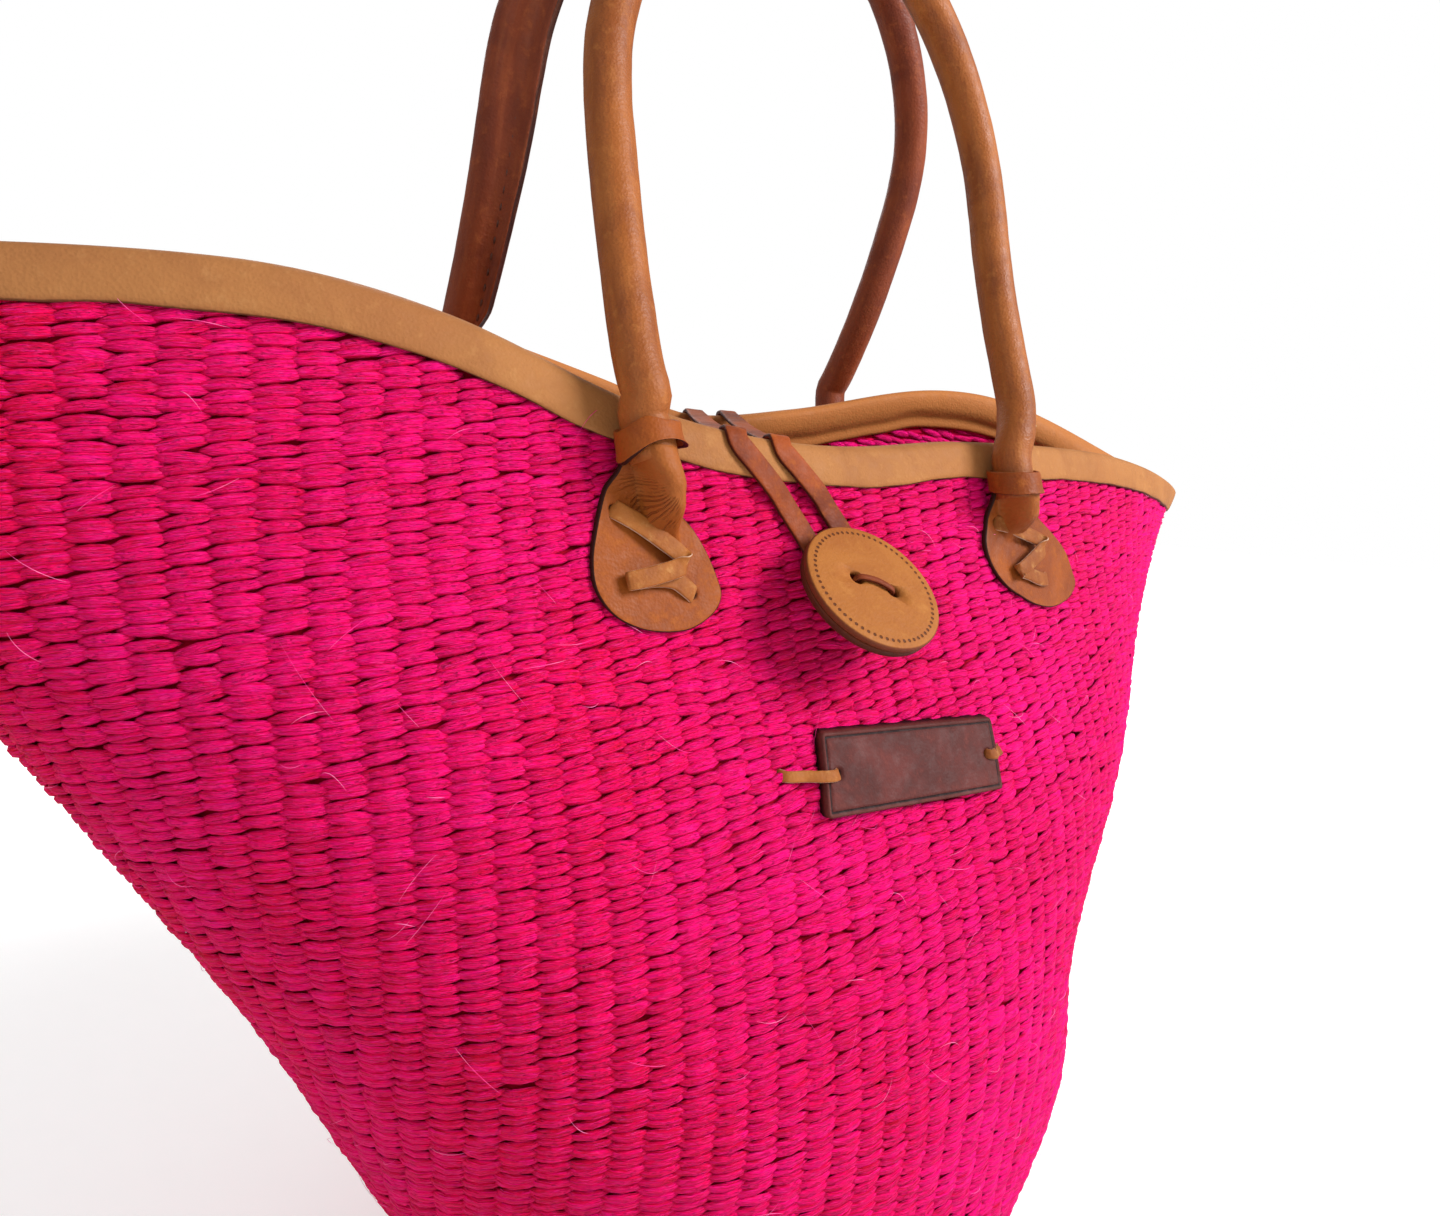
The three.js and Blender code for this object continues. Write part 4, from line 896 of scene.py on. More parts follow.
def gripLeather(kind):
    n, colour, rough = leatherNodes(f"{kind} leather", kind, calm=True)
    strip = n.parts(n.detail("edgesAndShade"))
    streak = n.noise(n.joined(n.times(strip[1], 0.12), n.times(strip[2], 7), 0.0), 2.2, 3, 0.55)
    colour = n.over(colour, streak, 0.5, 0.75, 0.35, leathers[kind]["pale"], leatherDepth)
    colour = n.over(colour, streak, 0.5, 0.28, 0.4, leathers[kind]["dark"], leatherDepth)
    return n.finish(colour, rough, Specular_IOR_Level=0.2)

thread = seamThread()
for name, handle in handles.items():
    mesh, points, towards, across, flange = gripMesh(f"{name}_handle_leather", handle)
    material = gripLeather(handle["leather"])
    grip = linked(f"{name}_handle_leather", mesh, material, None, [f"{name}_grip_cover"])
    hinge = hingeOf(handle) * metre
    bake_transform(grip)
    seam = seamStitches(f"{name}_handle_seam", points, towards, across, flange)
    linked(f"{name}_handle_seam", seam, thread, f"{name}_handle")
print("handles made")

# The rear right pieces mirror the rear left ones about the rear handle's middle
rearShift = -3

def mirrored(places):
    return [(rearShift - place[0], *place[1:]) for place in places]

# Tabs on the wall as (x, drop): outline, the middle line of the rolled part at its top, lacing holes
tabs = {
    "front_left": {
        "side": front, "centre": (-77, 38), "rollWidth": 6.9, "rollFoot": 31, "fold": -1,
        "outline": [(-86.4, 7), (-87.2, 16.5), (-91, 24.7), (-94.1, 34.5), (-96.1, 43.2), (-95.8, 50.4),
                    (-91.9, 55.3), (-85.4, 57), (-77.6, 56.5), (-69.1, 54.2), (-61.6, 49.3), (-58.2, 44.6),
                    (-58.5, 40.3), (-61.1, 33.5), (-64.9, 27.7), (-69.2, 23.6), (-70.8, 18.4), (-74.4, 7)],
        "roll": [(7, -80.9), (12, -79.4), (16, -77.6), (20.6, -76.6), (27, -75.8), (34, -75)],
        "holes": [(-88.5, 28.7), (-67.6, 44.7)],
    },
    "front_right": {
        "side": front, "centre": (76, 37), "rollWidth": 7.2, "rollFoot": 29, "fold": 1,
        "outline": [(57.4, 9), (56.6, 16.1), (54.6, 24.1), (52.4, 32), (54.4, 39.1), (60.2, 45.7), (68.3, 50.2),
                    (77.1, 53.6), (87.4, 54.9), (98.7, 52.7), (105.3, 48.3), (104.5, 43.4), (100.6, 35.5),
                    (92.5, 28.7), (84.8, 23.4), (78.5, 17), (72.5, 9)],
        "roll": [(9, 63.0), (14, 64.0), (20, 66), (27, 68), (34, 69)],
        "holes": [(59.5, 24.9), (76.1, 44.5), (84.3, 45)],
    },
    "rear_left": {
        "side": rear, "centre": (-86, 38), "rollWidth": 7.2, "rollFoot": 31, "fold": -1,
        "outline": [(-94, 9), (-97, 16), (-101, 25), (-103.4, 34), (-103.6, 42), (-101, 49), (-96, 54), (-89, 56.4),
                    (-80, 56), (-72, 52), (-67, 46), (-65.4, 40), (-66.6, 33), (-70, 26), (-75, 19), (-80.5, 9)],
        "roll": [(9, -87.6), (14, -87.2), (20.6, -86.6), (27, -86), (34, -85.5)],
        "holes": [(-83, 28.5), (-97, 46.2)],
    },
}
tabs["rear_right"] = {
    **tabs["rear_left"], "centre": (83, 38), "fold": 1, "outline": mirrored(tabs["rear_left"]["outline"]),
    "roll": [(drop, rearShift - x) for drop, x in tabs["rear_left"]["roll"]], "holes": mirrored(tabs["rear_left"]["holes"]),
}
patch = {"leather": 2.2, "gap": 0.35, "columns": 128, "rows": 66, "settleFrom": 13, "settleTo": 25,
         "inset": [(0, 0), (0.1, 0.86), (0.16, 0.98), (0.19, 1.0), (0.24, 1.0), (0.27, 0.985), (0.3, 0.965), (1, 0)],
         "level": [(0, 0), (0.16, 0.0), (0.19, 0.2), (0.24, 0.78), (0.27, 0.96), (0.3, 1.0), (1, 1)]}

def tabMesh(name, tab):
    side = tab["side"]
    ring = smoothed(tab["outline"] + tab["outline"][:1], 12)
    travelled = travelledAlong(ring)
    travelled /= travelled[-1]
    centre = np.array(tab["centre"], float)

    def flat(around, along):
        reach = np.interp(along, *zip(*patch["inset"]))
        edge = packed(np.interp(around, travelled, ring[:, 0]), np.interp(around, travelled, ring[:, 1]))
        return (centre + (edge - centre) * reach[:, None]).T

    def rollAt(drop):
        return np.interp(drop, *zip(*tab["roll"]))

    def place(around, along):
        x, drop = flat(around, along)
        level = np.interp(along, *zip(*patch["level"]))
        settled = smooth(drop, patch["settleFrom"], patch["settleTo"])
        back = mix(tube["backOut"], patch["gap"], settled)
        away = (x - rollAt(drop)) / (tab["rollWidth"] * mix(1, 0.78, smooth(drop, 11, 20)))
        fade = 1 - smooth(drop, patch["settleTo"] - 4, tab["rollFoot"] + 3)
        dome = np.clip(1 - np.abs(away) ** 2.4, 0, 1) ** 0.5
        swell = (2 * tube["radius"] + 0.7 - patch["leather"]) * dome * fade
        ripple = 0.18 * uneven(31, x * 0.22, drop * 0.2) + 0.14 * np.sin(foldPhase(x, drop) * 6.28) * foldMask(x, drop)
        dent = sum(np.exp(-(np.hypot(x - hx, drop - hd) / 1.5) ** 4) for hx, hd in tab["holes"])
        return wallAt(side, x, drop, back + patch["leather"] * level * (1 - 0.55 * dent) + (swell + ripple) * (level >= 1))

    def foldPhase(x, drop):
        return np.arctan2(drop - 14, (x - rollAt(drop)) * tab["fold"] + 2.5) * 6.5

    def foldMask(x, drop):
        off = (x - rollAt(drop)) * tab["fold"]
        return smooth(drop, 16, 21) * smooth(drop, 34, 27) * smooth(off, -2.5, 0.5) * smooth(off, 13, 6)

    def edgesAndShade(around, along):
        x, drop = flat(around, along)
        off = np.abs(x - rollAt(drop))
        rolled = smooth(drop, tab["rollFoot"] + 2, 18) * smooth(off, tab["rollWidth"] + 0.6, tab["rollWidth"] - 2)
        # painted shade: the mask darkens the patch's raised border, its side wall where shade falls
        return packed(smooth(along, 0.31, 0.27) * smooth(along, 0.12, 0.18), along * 5, rolled)

    def fold(around, along):
        x, drop = flat(around, along)
        near = np.min([np.hypot(x - hx, drop - hd) for hx, hd in tab["holes"]], axis=0)
        return packed(foldPhase(x, drop), foldMask(x, drop), near)
    return bent(name, patch["columns"], patch["rows"], place, {"edgesAndShade": edgesAndShade, "fold": fold})

def tabLeather():
    n, colour, rough = leatherNodes("tab leather", "tab", calm=True)
    phase, mask, near = n.parts(n.detail("fold"))[:3]
    bend = n.plus(n.times(n.noise(n.object, 180, 2), 0.5), phase)
    wave = n.math("SINE", n.times(bend, 4 * math.pi))
    broken = n.span(n.noise(n.object, 240, 2), 0.38, 0.62)
    rolled = n.parts(n.detail("edgesAndShade"))[2]
    colour = n.blend(n.times(rolled, 0.85), colour, tint(*leathers["grip"]["base"], leatherDepth))
    # painted shade darkens the creases over the roll
    crease = n.times(n.times(n.span(wave, 0.1, 1.0), mask), broken)
    colour = n.blend(n.times(crease, 0.5), colour, tint(*leathers["tab"]["dark"], leatherDepth))
    # painted shade round the lacing holes, nearly black
    colour = n.blend(n.span(near, 1.9, 1.2), colour, tint(40, 14, 10))
    n.bump(n.minus(1.0, crease), 0.8, 0.0007)
    return n.finish(colour, rough, Specular_IOR_Level=0.16)

tabMaterial = tabLeather()
for name, tab in tabs.items():
    linked(f"{name}_patch", tabMesh(f"{name}_patch", tab), tabMaterial, "basket", [f"{name}_tab"])
print("tabs made")

# Bands round the legs, following the handle's lean: drops of both edges by angle, 0 in front and 90 towards the right
bands = {
    "front_left": {"middle": (-81.3, -81.0), "radius": 8.2, "curl": 1.2,
                   "angles": (-180, -135, -90, -30, 0, 30, 90, 135, 180),
                   "top": (5, 7.5, 7.9, 1.9, 1.2, 0.6, 0, 2, 5), "foot": (12, 15, 15.9, 8.8, 6.2, 5.4, 6.9, 9, 12)},
    "front_right": {"middle": (61.9, 62.2), "radius": 8.4, "curl": 0.5, "angles": (-180, -90, 0, 90, 180),
                    "top": (7, 7.4, 7.0, 6.6, 7), "foot": (13.6, 14.7, 14.2, 13.5, 13.6)},
    "rear_left": {"middle": (-87.7, -87.5), "radius": 8.3, "curl": 0.4, "angles": (-180, 0, 180),
                  "top": (4, 4, 4), "foot": (12, 12, 12)},
}
bands["rear_right"] = {**bands["rear_left"], "middle": (84.7, 84.5)}

def bandMesh(name, band, side):
    def sectionOf(across):  # share from top to foot, and 1 outside to -1 inside
        c, s = np.cos(2 * np.pi * across), np.sin(2 * np.pi * across)
        return 0.5 - 0.5 * np.sign(c) * np.abs(c) ** 0.3, np.sign(s) * np.abs(s) ** 0.4

    def place(around, across):
        degrees = 360 * around - 180
        angle = np.radians(degrees)
        angles = np.array(band["angles"], float)
        top, foot = curveThrough(angles, band["top"], degrees), curveThrough(angles, band["foot"], degrees)
        share, outer = sectionOf(across)
        drop = mix(top, foot, share) + 0.2 * uneven(14, np.cos(angle) * 2, np.sin(angle) * 2, share * 2)
        radius = band["radius"] + 0.7 * outer + band["curl"] * smooth(share, 0.7, 1) * np.clip(np.sin(angle), 0, 1)
        radius = radius + 0.25 * np.exp(-((share - 1) / 0.12) ** 2) * (outer > 0)
        middle = mix(*band["middle"], share)
        out = np.maximum(10.6 + radius * np.cos(angle), 2.6 + 0.7 * outer)
        return wallAt(side, middle + radius * np.sin(angle), drop, out)

    def edgesAndShade(around, across):
        share = sectionOf(across)[0]
        # painted shade at the band's foot, where it stands off the tube; the mask also darkens two narrow lines along
        # the band
        line = np.maximum(np.exp(-((share - 0.86) / 0.035) ** 2), np.exp(-((share - 0.16) / 0.03) ** 2) * 0.6)
        return packed(np.maximum(smooth(share, 0.93, 0.995), line * 0.85), around * 60, share)
    return bent(name, 80, 44, place, {"edgesAndShade": edgesAndShade}, capped=False)

bandLeather = leather("band leather", "tab", calm=True)
for name, band in bands.items():
    mesh = bandMesh(f"{name}_band", band, tabs[name]["side"])
    linked(f"{name}_band", mesh, bandLeather, "basket", [f"{name}_keeper"])
print("bands made")

# Lacing thongs as wall places (x, drop, out) from slit to slit; a fourth number folds the lace there,
# 1 over itself and -1 beneath
laces = {
    "front_left": [(-88.3, 28.4, 3.6), (-82.5, 29.8, 4.2), (-75.5, 32.8, 4.9), (-72.4, 34.4, 5.0),
                   (-70.6, 36.2, 5.8, 1), (-73.2, 38.4, 6.4), (-79.5, 41.4, 6.1), (-85.0, 43.9, 5.7),
                   (-87.6, 45.2, 5.0, -1), (-84.5, 44.4, 4.1), (-78.5, 42.6, 4.0), (-73.5, 42.2, 3.8),
                   (-70.5, 43.4, 3.7), (-67.6, 45.0, 3.4)],
    "front_right": [(59.7, 25.0, 3.6), (65.0, 26.2, 4.2), (73.0, 28.8, 4.9), (79.0, 30.6, 5.0), (81.0, 32.0, 5.8, 1),
                    (78.6, 34.4, 6.4), (72.5, 37.6, 6.1), (67.8, 39.9, 5.7), (65.9, 41.0, 5.0, -1),
                    (68.4, 41.4, 4.1), (72.5, 42.4, 3.9), (76.4, 43.8, 3.7), (80.8, 44.8, 3.6), (84.3, 45.0, 3.4)],
    "rear_left": [(-83, 28.5, 3.6), (-89, 30.5, 4.4), (-95.5, 32.8, 5.0), (-97.6, 34.6, 5.8, 1), (-95, 37, 6.4),
                  (-89, 40.2, 6.1), (-84.6, 42.6, 5.7), (-82.6, 44, 5.0, -1), (-85.2, 44.2, 4.1), (-89.5, 44.6, 3.9),
                  (-93.5, 45.2, 3.7), (-97, 46.2, 3.4)],
}
laces["rear_right"] = mirrored(laces["rear_left"])
lace = {"width": 5.0, "thickness": 1.3}

def laceStops(side, places):
    first, last = places[0], places[-1]
    nFirst, nLast = wallNormal(side, first[0], first[1]), wallNormal(side, last[0], last[1])
    inside = -wall["thickness"] - 1.4
    start, end = wallAt(side, first[0], first[1], 0), wallAt(side, last[0], last[1], 0)
    run = unit(end - start)
    off = unit(wallAt(side, *places[1][:3]) - wallAt(side, *first[:3]))  # the lace's course off the first slit
    arrive = unit(wallAt(side, *last[:3]) - wallAt(side, *places[-2][:3]))
    middle = ((first[0] + last[0]) / 2, (first[1] + last[1]) / 2)
    nMiddle = wallNormal(side, *middle)
    stops = [(wallAt(side, *middle, inside), -nMiddle), (wallAt(side, *first[:2], inside), unit(-nFirst - run)),
             (wallAt(side, *first[:2], -1.5), -unit(run + off)),
             (wallAt(side, *first[:2], first[2] - 0.8), unit(nFirst - off))]
    facing = 1
    for before, here in zip(places, places[1:-1]):
        point, normal = wallAt(side, *here[:3]), wallNormal(side, here[0], here[1])
        travel = unit(point - wallAt(side, *before[:3]))
        if len(here) > 3:
            stops.append((point, -facing * here[3] * travel))
            facing = -facing
        else:
            stops.append((point, facing * normal))
    stops += [(wallAt(side, *last[:2], last[2] - 0.8), unit(nLast + arrive)),
              (wallAt(side, *last[:2], -1.5), unit(run + arrive)),
              (wallAt(side, *last[:2], inside), unit(run - nLast)), (wallAt(side, *middle, inside - 0.2) + run, -nMiddle)]
    return stops

laceLeather = leather("lace leather", "thong")
for name, places in laces.items():
    side = front if name.startswith("front") else rear
    mesh = strapMesh(f"{name}_lace", laceStops(side, places), lace["width"], lace["thickness"], perSpan=7)
    linked(f"{name}_lace", mesh, laceLeather, "basket", [f"{name}_thong"])
print("laces made")

# Closure strap: up the rear wall, over the mouth at a slant, down the front and round the button's neck
bindingFoot = 10.3
closure = {"rearX": 15, "frontX": -40, "spacing": 16, "width": 7, "leather": 1.6, "slitDrop": 26, "tail": 9, "room": 0.35,
           "sag": 1.5, "step": 7, "buttonX": -12, "buttonDrop": 43.5}

def closureLeg(shift):
    c = closure
    half = c["leather"] / 2
    onWall, onBinding = 0.3 + half + 1.0, 2.2 + c["room"] + half
    inside, innerTop = -wall["thickness"] - 1.0 - half, -wall["plait"] - 2.6
    crossing = 2 * (wall["mouthDepth"] + onBinding)

    def xAt(side, drop, out):
        crossed = max(onBinding - out, 0) / crossing
        start, goal = (c["rearX"], c["frontX"]) if side == rear else (c["frontX"], c["rearX"])
        if drop < bindingFoot and (side == rear or drop < 0):
            return mix(start, goal, crossed) + shift
        if side == rear:
            return c["rearX"] + shift
        return mix(c["frontX"], c["buttonX"], math.sin(math.pi / 2 * drop / c["buttonDrop"])) + shift

    def at(side, drop, out, face=None):
        x = xAt(side, drop, out)
        facing = wallNormal(side, x, max(drop, 11)) if face is None else unit(np.array(face, float))
        return wallAt(side, x, drop, out), facing

    def over(side):
        return [at(side, 12.1, onBinding), at(side, 6, onBinding), at(side, 1.2, onBinding - 0.1),
                at(side, -1.9, onBinding - 1.7, (0, side, 1)), at(side, -3.0, -1.6, (0, side * 0.2, 1)),
                at(side, -3.1, -6.5, (0, 0, 1)), at(side, -2.6, innerTop, (0, -side * 0.2, 1))]
    rearTop, frontTop = at(rear, -2.6, innerTop)[0], at(front, -2.6, innerTop)[0]
    crossingStops = []
    for share in (0.2, 0.4, 0.6, 0.8):
        point = mix(rearTop, frontTop, share) - np.array([0, 0, c["sag"] * math.sin(math.pi * share)])
        crossingStops.append((point, np.array([0, 0, 1.0])))
    stepDrop = bindingFoot + c["step"]
    stops = [at(rear, c["slitDrop"] + c["tail"], inside, (0, 1, 0)), at(rear, c["slitDrop"] + 2, inside, (0, 1, 0)),
             at(rear, c["slitDrop"], inside + half + 0.4, (0, 1, 1)),
             (at(rear, c["slitDrop"], -wall["thickness"] / 2)[0], np.array([0, 0.15, 1.0])),
             at(rear, c["slitDrop"], onWall - 0.2, (0, 1, 1)), at(rear, c["slitDrop"] - 2.2, onWall),
             at(rear, stepDrop, onWall)]
    stops += over(rear) + crossingStops + over(front)[::-1]
    return stops + [at(front, drop, onWall) for drop in (stepDrop, (stepDrop + c["buttonDrop"]) / 2, c["buttonDrop"])]

def closureMesh():
    reach = closure["spacing"] / 2
    normal = wallNormal(front, closure["buttonX"], closure["buttonDrop"])
    turn = []
    for i in range(1, 6):
        angle = math.pi * i / 6
        x, drop = closure["buttonX"] - reach * math.cos(angle), closure["buttonDrop"] + 0.6 * reach * math.sin(angle)
        turn.append((wallAt(front, x, drop, 2.2), normal))
    stops = closureLeg(-reach) + turn + closureLeg(reach)[::-1]
    return strapMesh("closure_strap", stops, closure["width"], closure["leather"], perSpan=5, around=20, squareness=0.4)

linked("closure_strap", closureMesh(), leather("strap leather", "strap"), "basket", ["closure_loop"])
print("closure made")

# Button: a thick face disc on a back disc, sewn round its edge, held by a thong through two holes
button = {"x": -16.6, "drop": 51.3, "standoff": 16.2, "topple": 24.5, "holeSpacing": 12, "holeTurn": 27, "holeRadius": 2.4,
          "sides": 96, "bevel": 0.7, "stitchRing": 19.4, "stitches": 62}
discs = {
    "front": {"low": 0.15, "high": 2.4, "radius": 22.0, "dome": 0.5, "node": "button_face",
              "leather": "button", "material": "button leather"},
    "back": {"low": -2.4, "high": -0.1, "radius": 21.7, "dome": 0.0, "node": "button_back",
             "leather": "buttonBack", "material": "button back leather"},
}

def buttonBasis():
    outward = wallNormal(front, button["x"], button["drop"])
    level = unit(np.array([1.0, 0, 0]) - outward * outward[0])
    topple, turn = math.radians(button["topple"]), math.radians(button["holeTurn"])
    turned = Matrix.Rotation(-topple, 3, Vector(level)) @ Vector(outward)
    normal = np.array(turned)
    down = np.cross(level, outward)
    across = level * math.cos(turn) + unit(down) * math.sin(turn)
    across = unit(across - normal * (across @ normal))
    place = wallAt(front, button["x"], button["drop"], 0) + normal * button["standoff"] / math.cos(topple)
    return Matrix((across, np.cross(normal, across), normal)).transposed(), place

def discMesh(name, disc):
    basis, place = buttonBasis()
    low, high, radius, dome, bevel = disc["low"], disc["high"], disc["radius"], disc["dome"], button["bevel"]
    bm = bmesh.new()
    profile = [(0, low), (radius - bevel, low), (radius - bevel * 0.3, low + bevel * 0.3), (radius, low + bevel),
               (radius, high - bevel), (radius - bevel * 0.3, high - bevel * 0.3), (radius - bevel, high),
               (radius * 0.85, high + dome * 0.25), (radius * 0.6, high + dome * 0.6),
               (radius * 0.3, high + dome * 0.9), (0, high + dome)]
    verts = [bm.verts.new((x, 0, z)) for x, z in profile]
    for a, b in zip(verts, verts[1:]):
        bm.edges.new((a, b))
    bmesh.ops.spin(bm, geom=bm.verts[:] + bm.edges[:], cent=(0, 0, 0), axis=(0, 0, 1), angle=2 * math.pi,
                   steps=button["sides"], use_merge=True)
    bmesh.ops.remove_doubles(bm, verts=bm.verts, dist=1e-4)
    mesh = finished(bm, name)
    holder = added(name, mesh)
    cutters = []
    for hand in (-1, 1):
        bm = bmesh.new()
        hole = button["holeRadius"]
        bmesh.ops.create_cone(bm, cap_ends=True, segments=24, radius1=hole, radius2=hole, depth=20)
        bmesh.ops.translate(bm, verts=bm.verts, vec=(hand * button["holeSpacing"] / 2, 0, 0))
        cutter = added("hole", finished(bm, "hole"))
        cutting = holder.modifiers.new("hole", "BOOLEAN")
        cutting.operation, cutting.object, cutting.solver = "DIFFERENCE", cutter, "EXACT"
        cutters.append(cutter)
    bpy.context.view_layer.update()
    cut = bpy.data.meshes.new_from_object(holder.evaluated_get(bpy.context.evaluated_depsgraph_get()))
    for made in cutters + [holder]:
        bpy.data.objects.remove(made)
    bm = bmesh.new()
    bm.from_mesh(cut)
    layer = bm.verts.layers.float_vector.new("disc")
    for vert in bm.verts:
        x, y, z = vert.co
        vert[layer] = (x, y, z)
        vert.co = (Vector(place) + basis @ Vector((x, y, z))) * metre
    mesh = bpy.data.meshes.new(name)
    bm.to_mesh(mesh)
    bm.free()
    return mesh

def buttonLeather(name, kind, sewn):
    n, colour, rough = leatherNodes(name, kind, edgeDetail=False, calm=True)
    x, y, z = n.parts(n.detail("disc"))[:3]
    radius = n.length(x, y)
    turn = n.times(n.math("ARCTAN2", y, x), button["stitches"] / (2 * math.pi))
    along = n.minus(n.math("FRACT", turn), 0.5)
    dot = n.plus(n.math("POWER", n.math("DIVIDE", n.minus(radius, button["stitchRing"]), 0.55), 2.0),
                 n.math("POWER", n.math("DIVIDE", n.size(along), 0.26), 2.0))
    dots = n.span(dot, 1.3, 0.5)
    if sewn:
        ring = n.span(n.size(n.minus(radius, button["stitchRing"])), 1.0, 0.0, 0.0, 0.35)
        colour = n.blend(ring, colour, tint(140, 78, 28))
        colour = n.blend(n.times(dots, 0.95), colour, tint(84, 40, 14))
        n.bump(n.minus(1.0, dots), 0.8, 0.0005)
        # painted shade round the two thong holes
        holes = n.size(n.minus(n.size(x), button["holeSpacing"] / 2))
        near = n.length(holes, y)
        colour = n.over(colour, near, 2.6, 2.0, 0.9, (70, 30, 16))
    # painted shade: both discs darken at their rim, for the shaded side wall
    colour = n.blend(n.span(radius, 21.4, 21.9, 0.0, 0.85), colour, tint(*leathers[kind]["edge"]))
    return n.finish(colour, rough, Specular_IOR_Level=0.16)

for name, disc in discs.items():
    material = buttonLeather(disc["material"], disc["leather"], sewn=name == "front")
    mesh = discMesh(f"button_{name}_disc", disc)
    linked(f"button_{name}_disc", mesh, material, "button", [disc["node"]])

def buttonCordStops():
    basis, place = buttonBasis()
    at = lambda x, y, z: np.array(Vector(place) + basis @ Vector((x, y, z)))
    faceOf = lambda x, y, z: np.array(basis @ Vector((x, y, z)))
    h = button["holeSpacing"] / 2
    foot = lambda x, out: wallAt(front, closure["buttonX"] + x, closure["buttonDrop"], out)
    outward = wallNormal(front, closure["buttonX"], closure["buttonDrop"])
    level = np.array([1.0, 0, 0])
    inside = -wall["thickness"] - 1.4
    up = [(foot(0.6, inside), -outward), (foot(3, inside), unit(level - outward)), (foot(3.6, -1), level),
          (foot(3.6, 3), level)]
    down = [(p + 2 * (foot(0, 0) - p) @ level * level, f - 2 * (f @ level) * level) for p, f in up][::-1]
    over = [(at(h, 0, -1.6), faceOf(1, 0, 0)), (at(h, 0, 1.9), faceOf(1, 0, 0)),
            (at(h - 1.2, -0.2, 3.55), faceOf(0.2, 0, 1)), (at(0, 0.5, 3.9), faceOf(0, 0, 1)),
            (at(-h + 1.2, 0.1, 3.55), faceOf(-0.2, 0, 1)),
            (at(-h, 0, 1.9), faceOf(-1, 0, 0)), (at(-h, 0, -1.6), faceOf(-1, 0, 0))]
    return up + over + down

cordLeather = leather("button thong leather", "strap")
cordMesh = strapMesh("button_lace", buttonCordStops(), 1.9, 1.2, perSpan=6, around=12, squareness=0.7)
linked("button_lace", cordMesh, cordLeather, "basket", ["button_thong"])
print("button made")

# Label: a stiff bare plate with a pressed line inside its edge
label = {"corners": [(-34.1, 77.8), (35.5, 82.9), (-38.6, 100), (32.3, 103.4)], "length": 69, "height": 21.3,
         "leather": 3.4, "inset": 1.7, "corner": 1.6, "hole": 29.5, "columns": 168, "rows": 56}

# A place on the label, measured from its middle, as (x, drop) on the wall
def labelSpot(x, y):
    u, v = x / label["length"] + 0.5, 0.5 - y / label["height"]
    corners = [np.array([cx, wallAt(front, cx, cd, 4)[2]]) for cx, cd in label["corners"]]
    spot = [(1 - v) * ((1 - u) * corners[0][k] + u * corners[1][k]) + v * ((1 - u) * corners[2][k] + u * corners[3][k])
            for k in (0, 1)]
    drop = label["corners"][0][1]
    for _ in range(3):
        drop = drop + wallAt(front, spot[0], drop, 4)[..., 2] - spot[1]
    return spot[0], drop

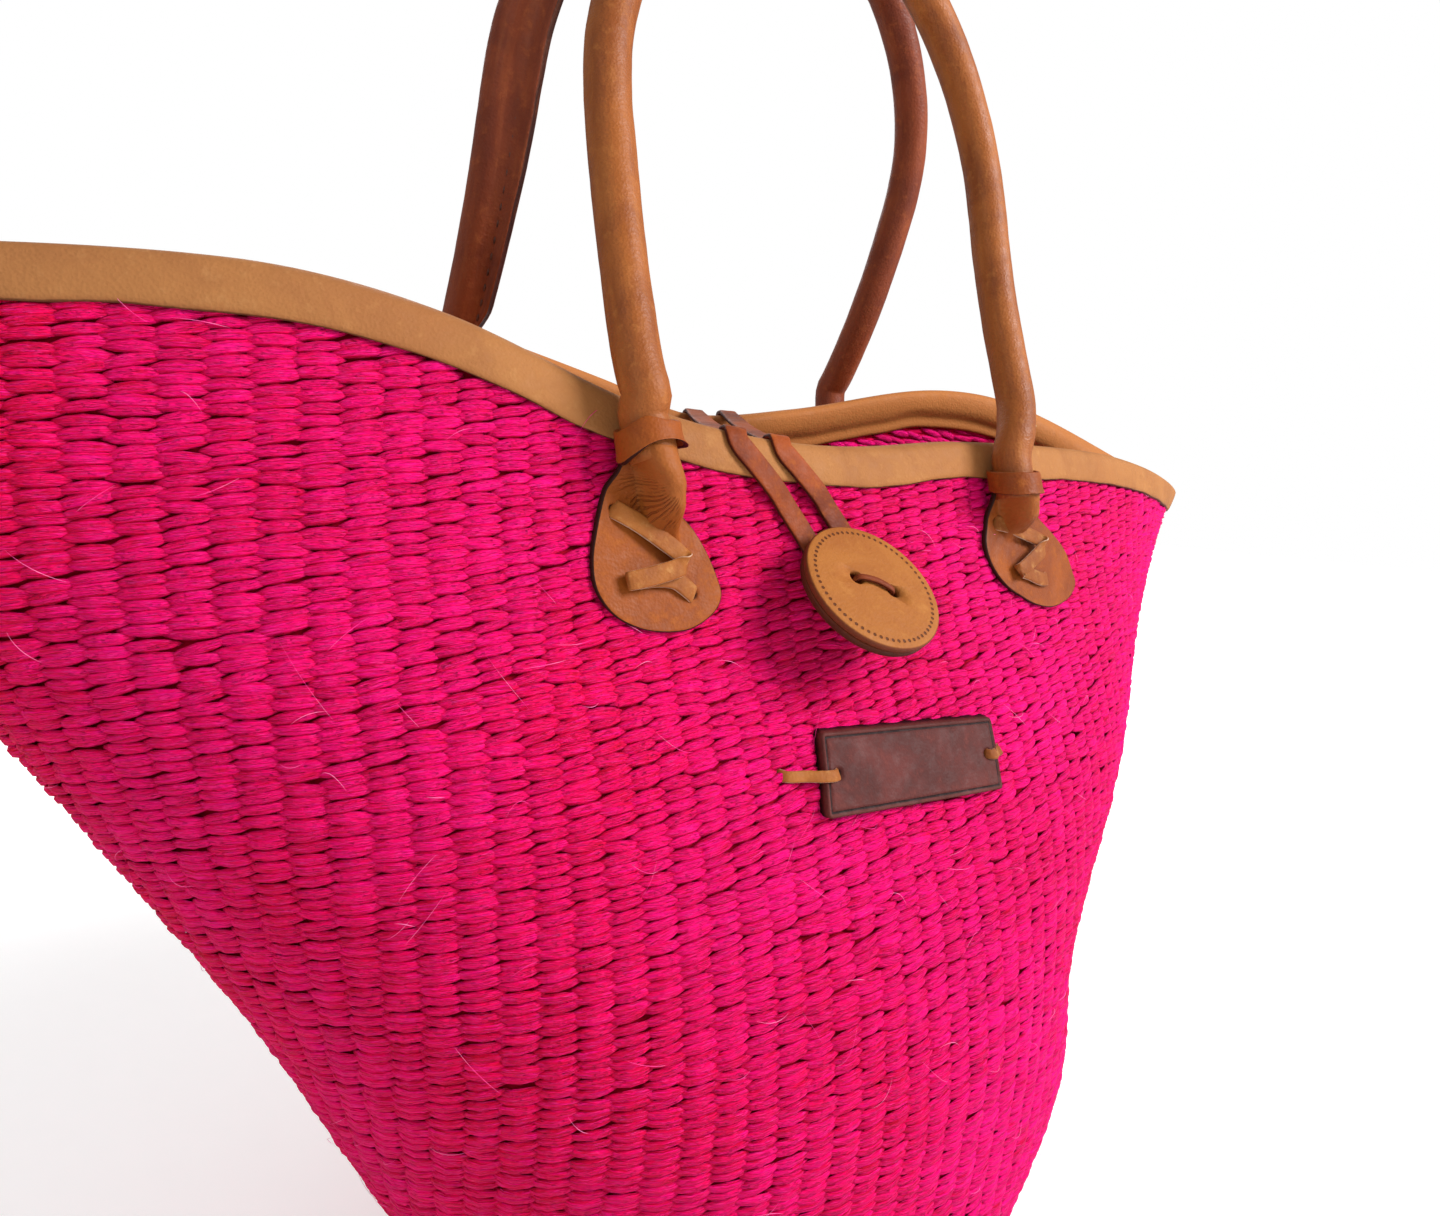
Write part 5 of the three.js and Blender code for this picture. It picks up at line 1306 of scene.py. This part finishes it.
def labelMesh():
    a, b, r = label["length"] / 2, label["height"] / 2, label["corner"]
    columns, rows = label["columns"], label["rows"]

    def flat(across, along):
        x, y = (across * 2 - 1) * a, (along * 2 - 1) * b
        over = np.stack([np.maximum(np.abs(x) - (a - r), 0), np.maximum(np.abs(y) - (b - r), 0)])
        far = np.maximum(np.hypot(*over), 1e-6)
        square = np.maximum(over[0], over[1])
        x = np.sign(x) * (np.minimum(np.abs(x), a - r) + over[0] * square / far)
        y = np.sign(y) * (np.minimum(np.abs(y), b - r) + over[1] * square / far)
        over = np.stack([np.maximum(np.abs(x) - (a - r), 0), np.maximum(np.abs(y) - (b - r), 0)])
        inner = np.minimum(a - np.abs(x), b - np.abs(y))
        inner = np.where((over[0] > 0) & (over[1] > 0), r - np.hypot(*over), inner)
        return x, y, inner

    def place(across, along):
        x, y, inner = flat(across, along)
        edge = (np.abs(2 * across - 1) > 1 - 0.6 / columns) | (np.abs(2 * along - 1) > 1 - 0.6 / rows)
        lift = label["leather"] * np.sqrt(np.clip(smooth(inner, -0.6, 0.9), 0, 1))
        lift = lift - 0.6 * np.exp(-((inner - label["inset"]) / 0.36) ** 2) + 0.1 * uneven(41, x * 0.2, y * 0.3)
        for hand in (-1, 1):
            lift = lift - 1.1 * np.exp(-(np.hypot(x - hand * label["hole"], y) / 1.5) ** 4)
        lift = np.where(edge, 0.0, lift)
        return wallAt(front, *labelSpot(x, y), 0.5 + lift)

    def edgesAndShade(across, along):
        x, y, inner = flat(across, along)
        # the mask darkens the pressed line inside the edge; on the plate's side wall and round the lace holes the
        # darkening is painted shade
        line = np.exp(-((inner - label["inset"]) / 0.55) ** 2)
        rim = smooth(inner, 0.75, 0.1)
        hole = np.maximum(*[np.exp(-(np.hypot(x - hand * label["hole"], y) / 1.7) ** 4) for hand in (-1, 1)])
        return packed(np.maximum(np.maximum(line, rim), hole), x * 0.1, y * 0.1)
    return bent("label_plate", columns, rows, place, {"edgesAndShade": edgesAndShade})

linked("label_plate", labelMesh(), leather("label leather", "label"), "basket", ["label_tag"])

def labelLaceStops():
    inside = -wall["thickness"] - 1.5
    n = wallNormal(front, -1, 90)
    level = lambda x, out: wallAt(front, *labelSpot(x, 0.0), out)
    left, right = -label["hole"], label["hole"]
    farLeft, farRight = left - 16.5, right + 9
    xs = np.array([1.0, 0, 0])
    return [(level(left + 4, inside), -n), (level(left + 0.6, inside), unit(-n + xs)), (level(left, -1), xs),
            (level(left - 0.2, 3.2), unit(n + xs)), (level(left - 2.5, 4.7), n), (level(left - 6.5, 4.1), n),
            (level(left - 10.5, 2.4), n),
            (level(farLeft + 1.2, 1.4), n), (level(farLeft, -1.5), -xs), (level(farLeft + 2, inside), -n),
            (level(left - 4, inside - 1.2), -n), (level(0, inside - 1.2), -n), (level(right + 4, inside - 0.9), -n),
            (level(farRight - 1.5, inside), -n), (level(farRight, -1.5), xs), (level(farRight - 0.9, 1.6), n),
            (level(right + 4.5, 3.0), n), (level(right + 2.2, 4.6), n), (level(right + 0.2, 3.2), unit(n - xs)),
            (level(right, -1), -xs), (level(right - 2.5, inside), -n)]

labelLace = strapMesh("label_lace", labelLaceStops(), 3.2, 1.2, perSpan=6, around=12)
linked("label_lace", labelLace, laceLeather, "basket", ["label_thong"])
print("label made")

# CAD nodes that stay: the ropes inside the handles
def dressed(node, material):
    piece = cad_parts[node]
    piece.data.materials.clear()
    piece.data.materials.append(material)

def ropeMaterial():
    n = Nodes("sisal rope")
    strands = n.node("ShaderNodeTexWave", {"wave_type": "BANDS", "bands_direction": "DIAGONAL"},
                     Vector=n.object, Scale=260, Distortion=1.5, Detail=2).outputs[1]
    n.bump(strands, 0.8, 0.0008)
    return n.finish(n.blend(strands, tint(178, 156, 112), tint(224, 208, 168)), 0.85)

rope = ropeMaterial()
for name in handles:
    dressed(f"{name}_grip_core", rope)
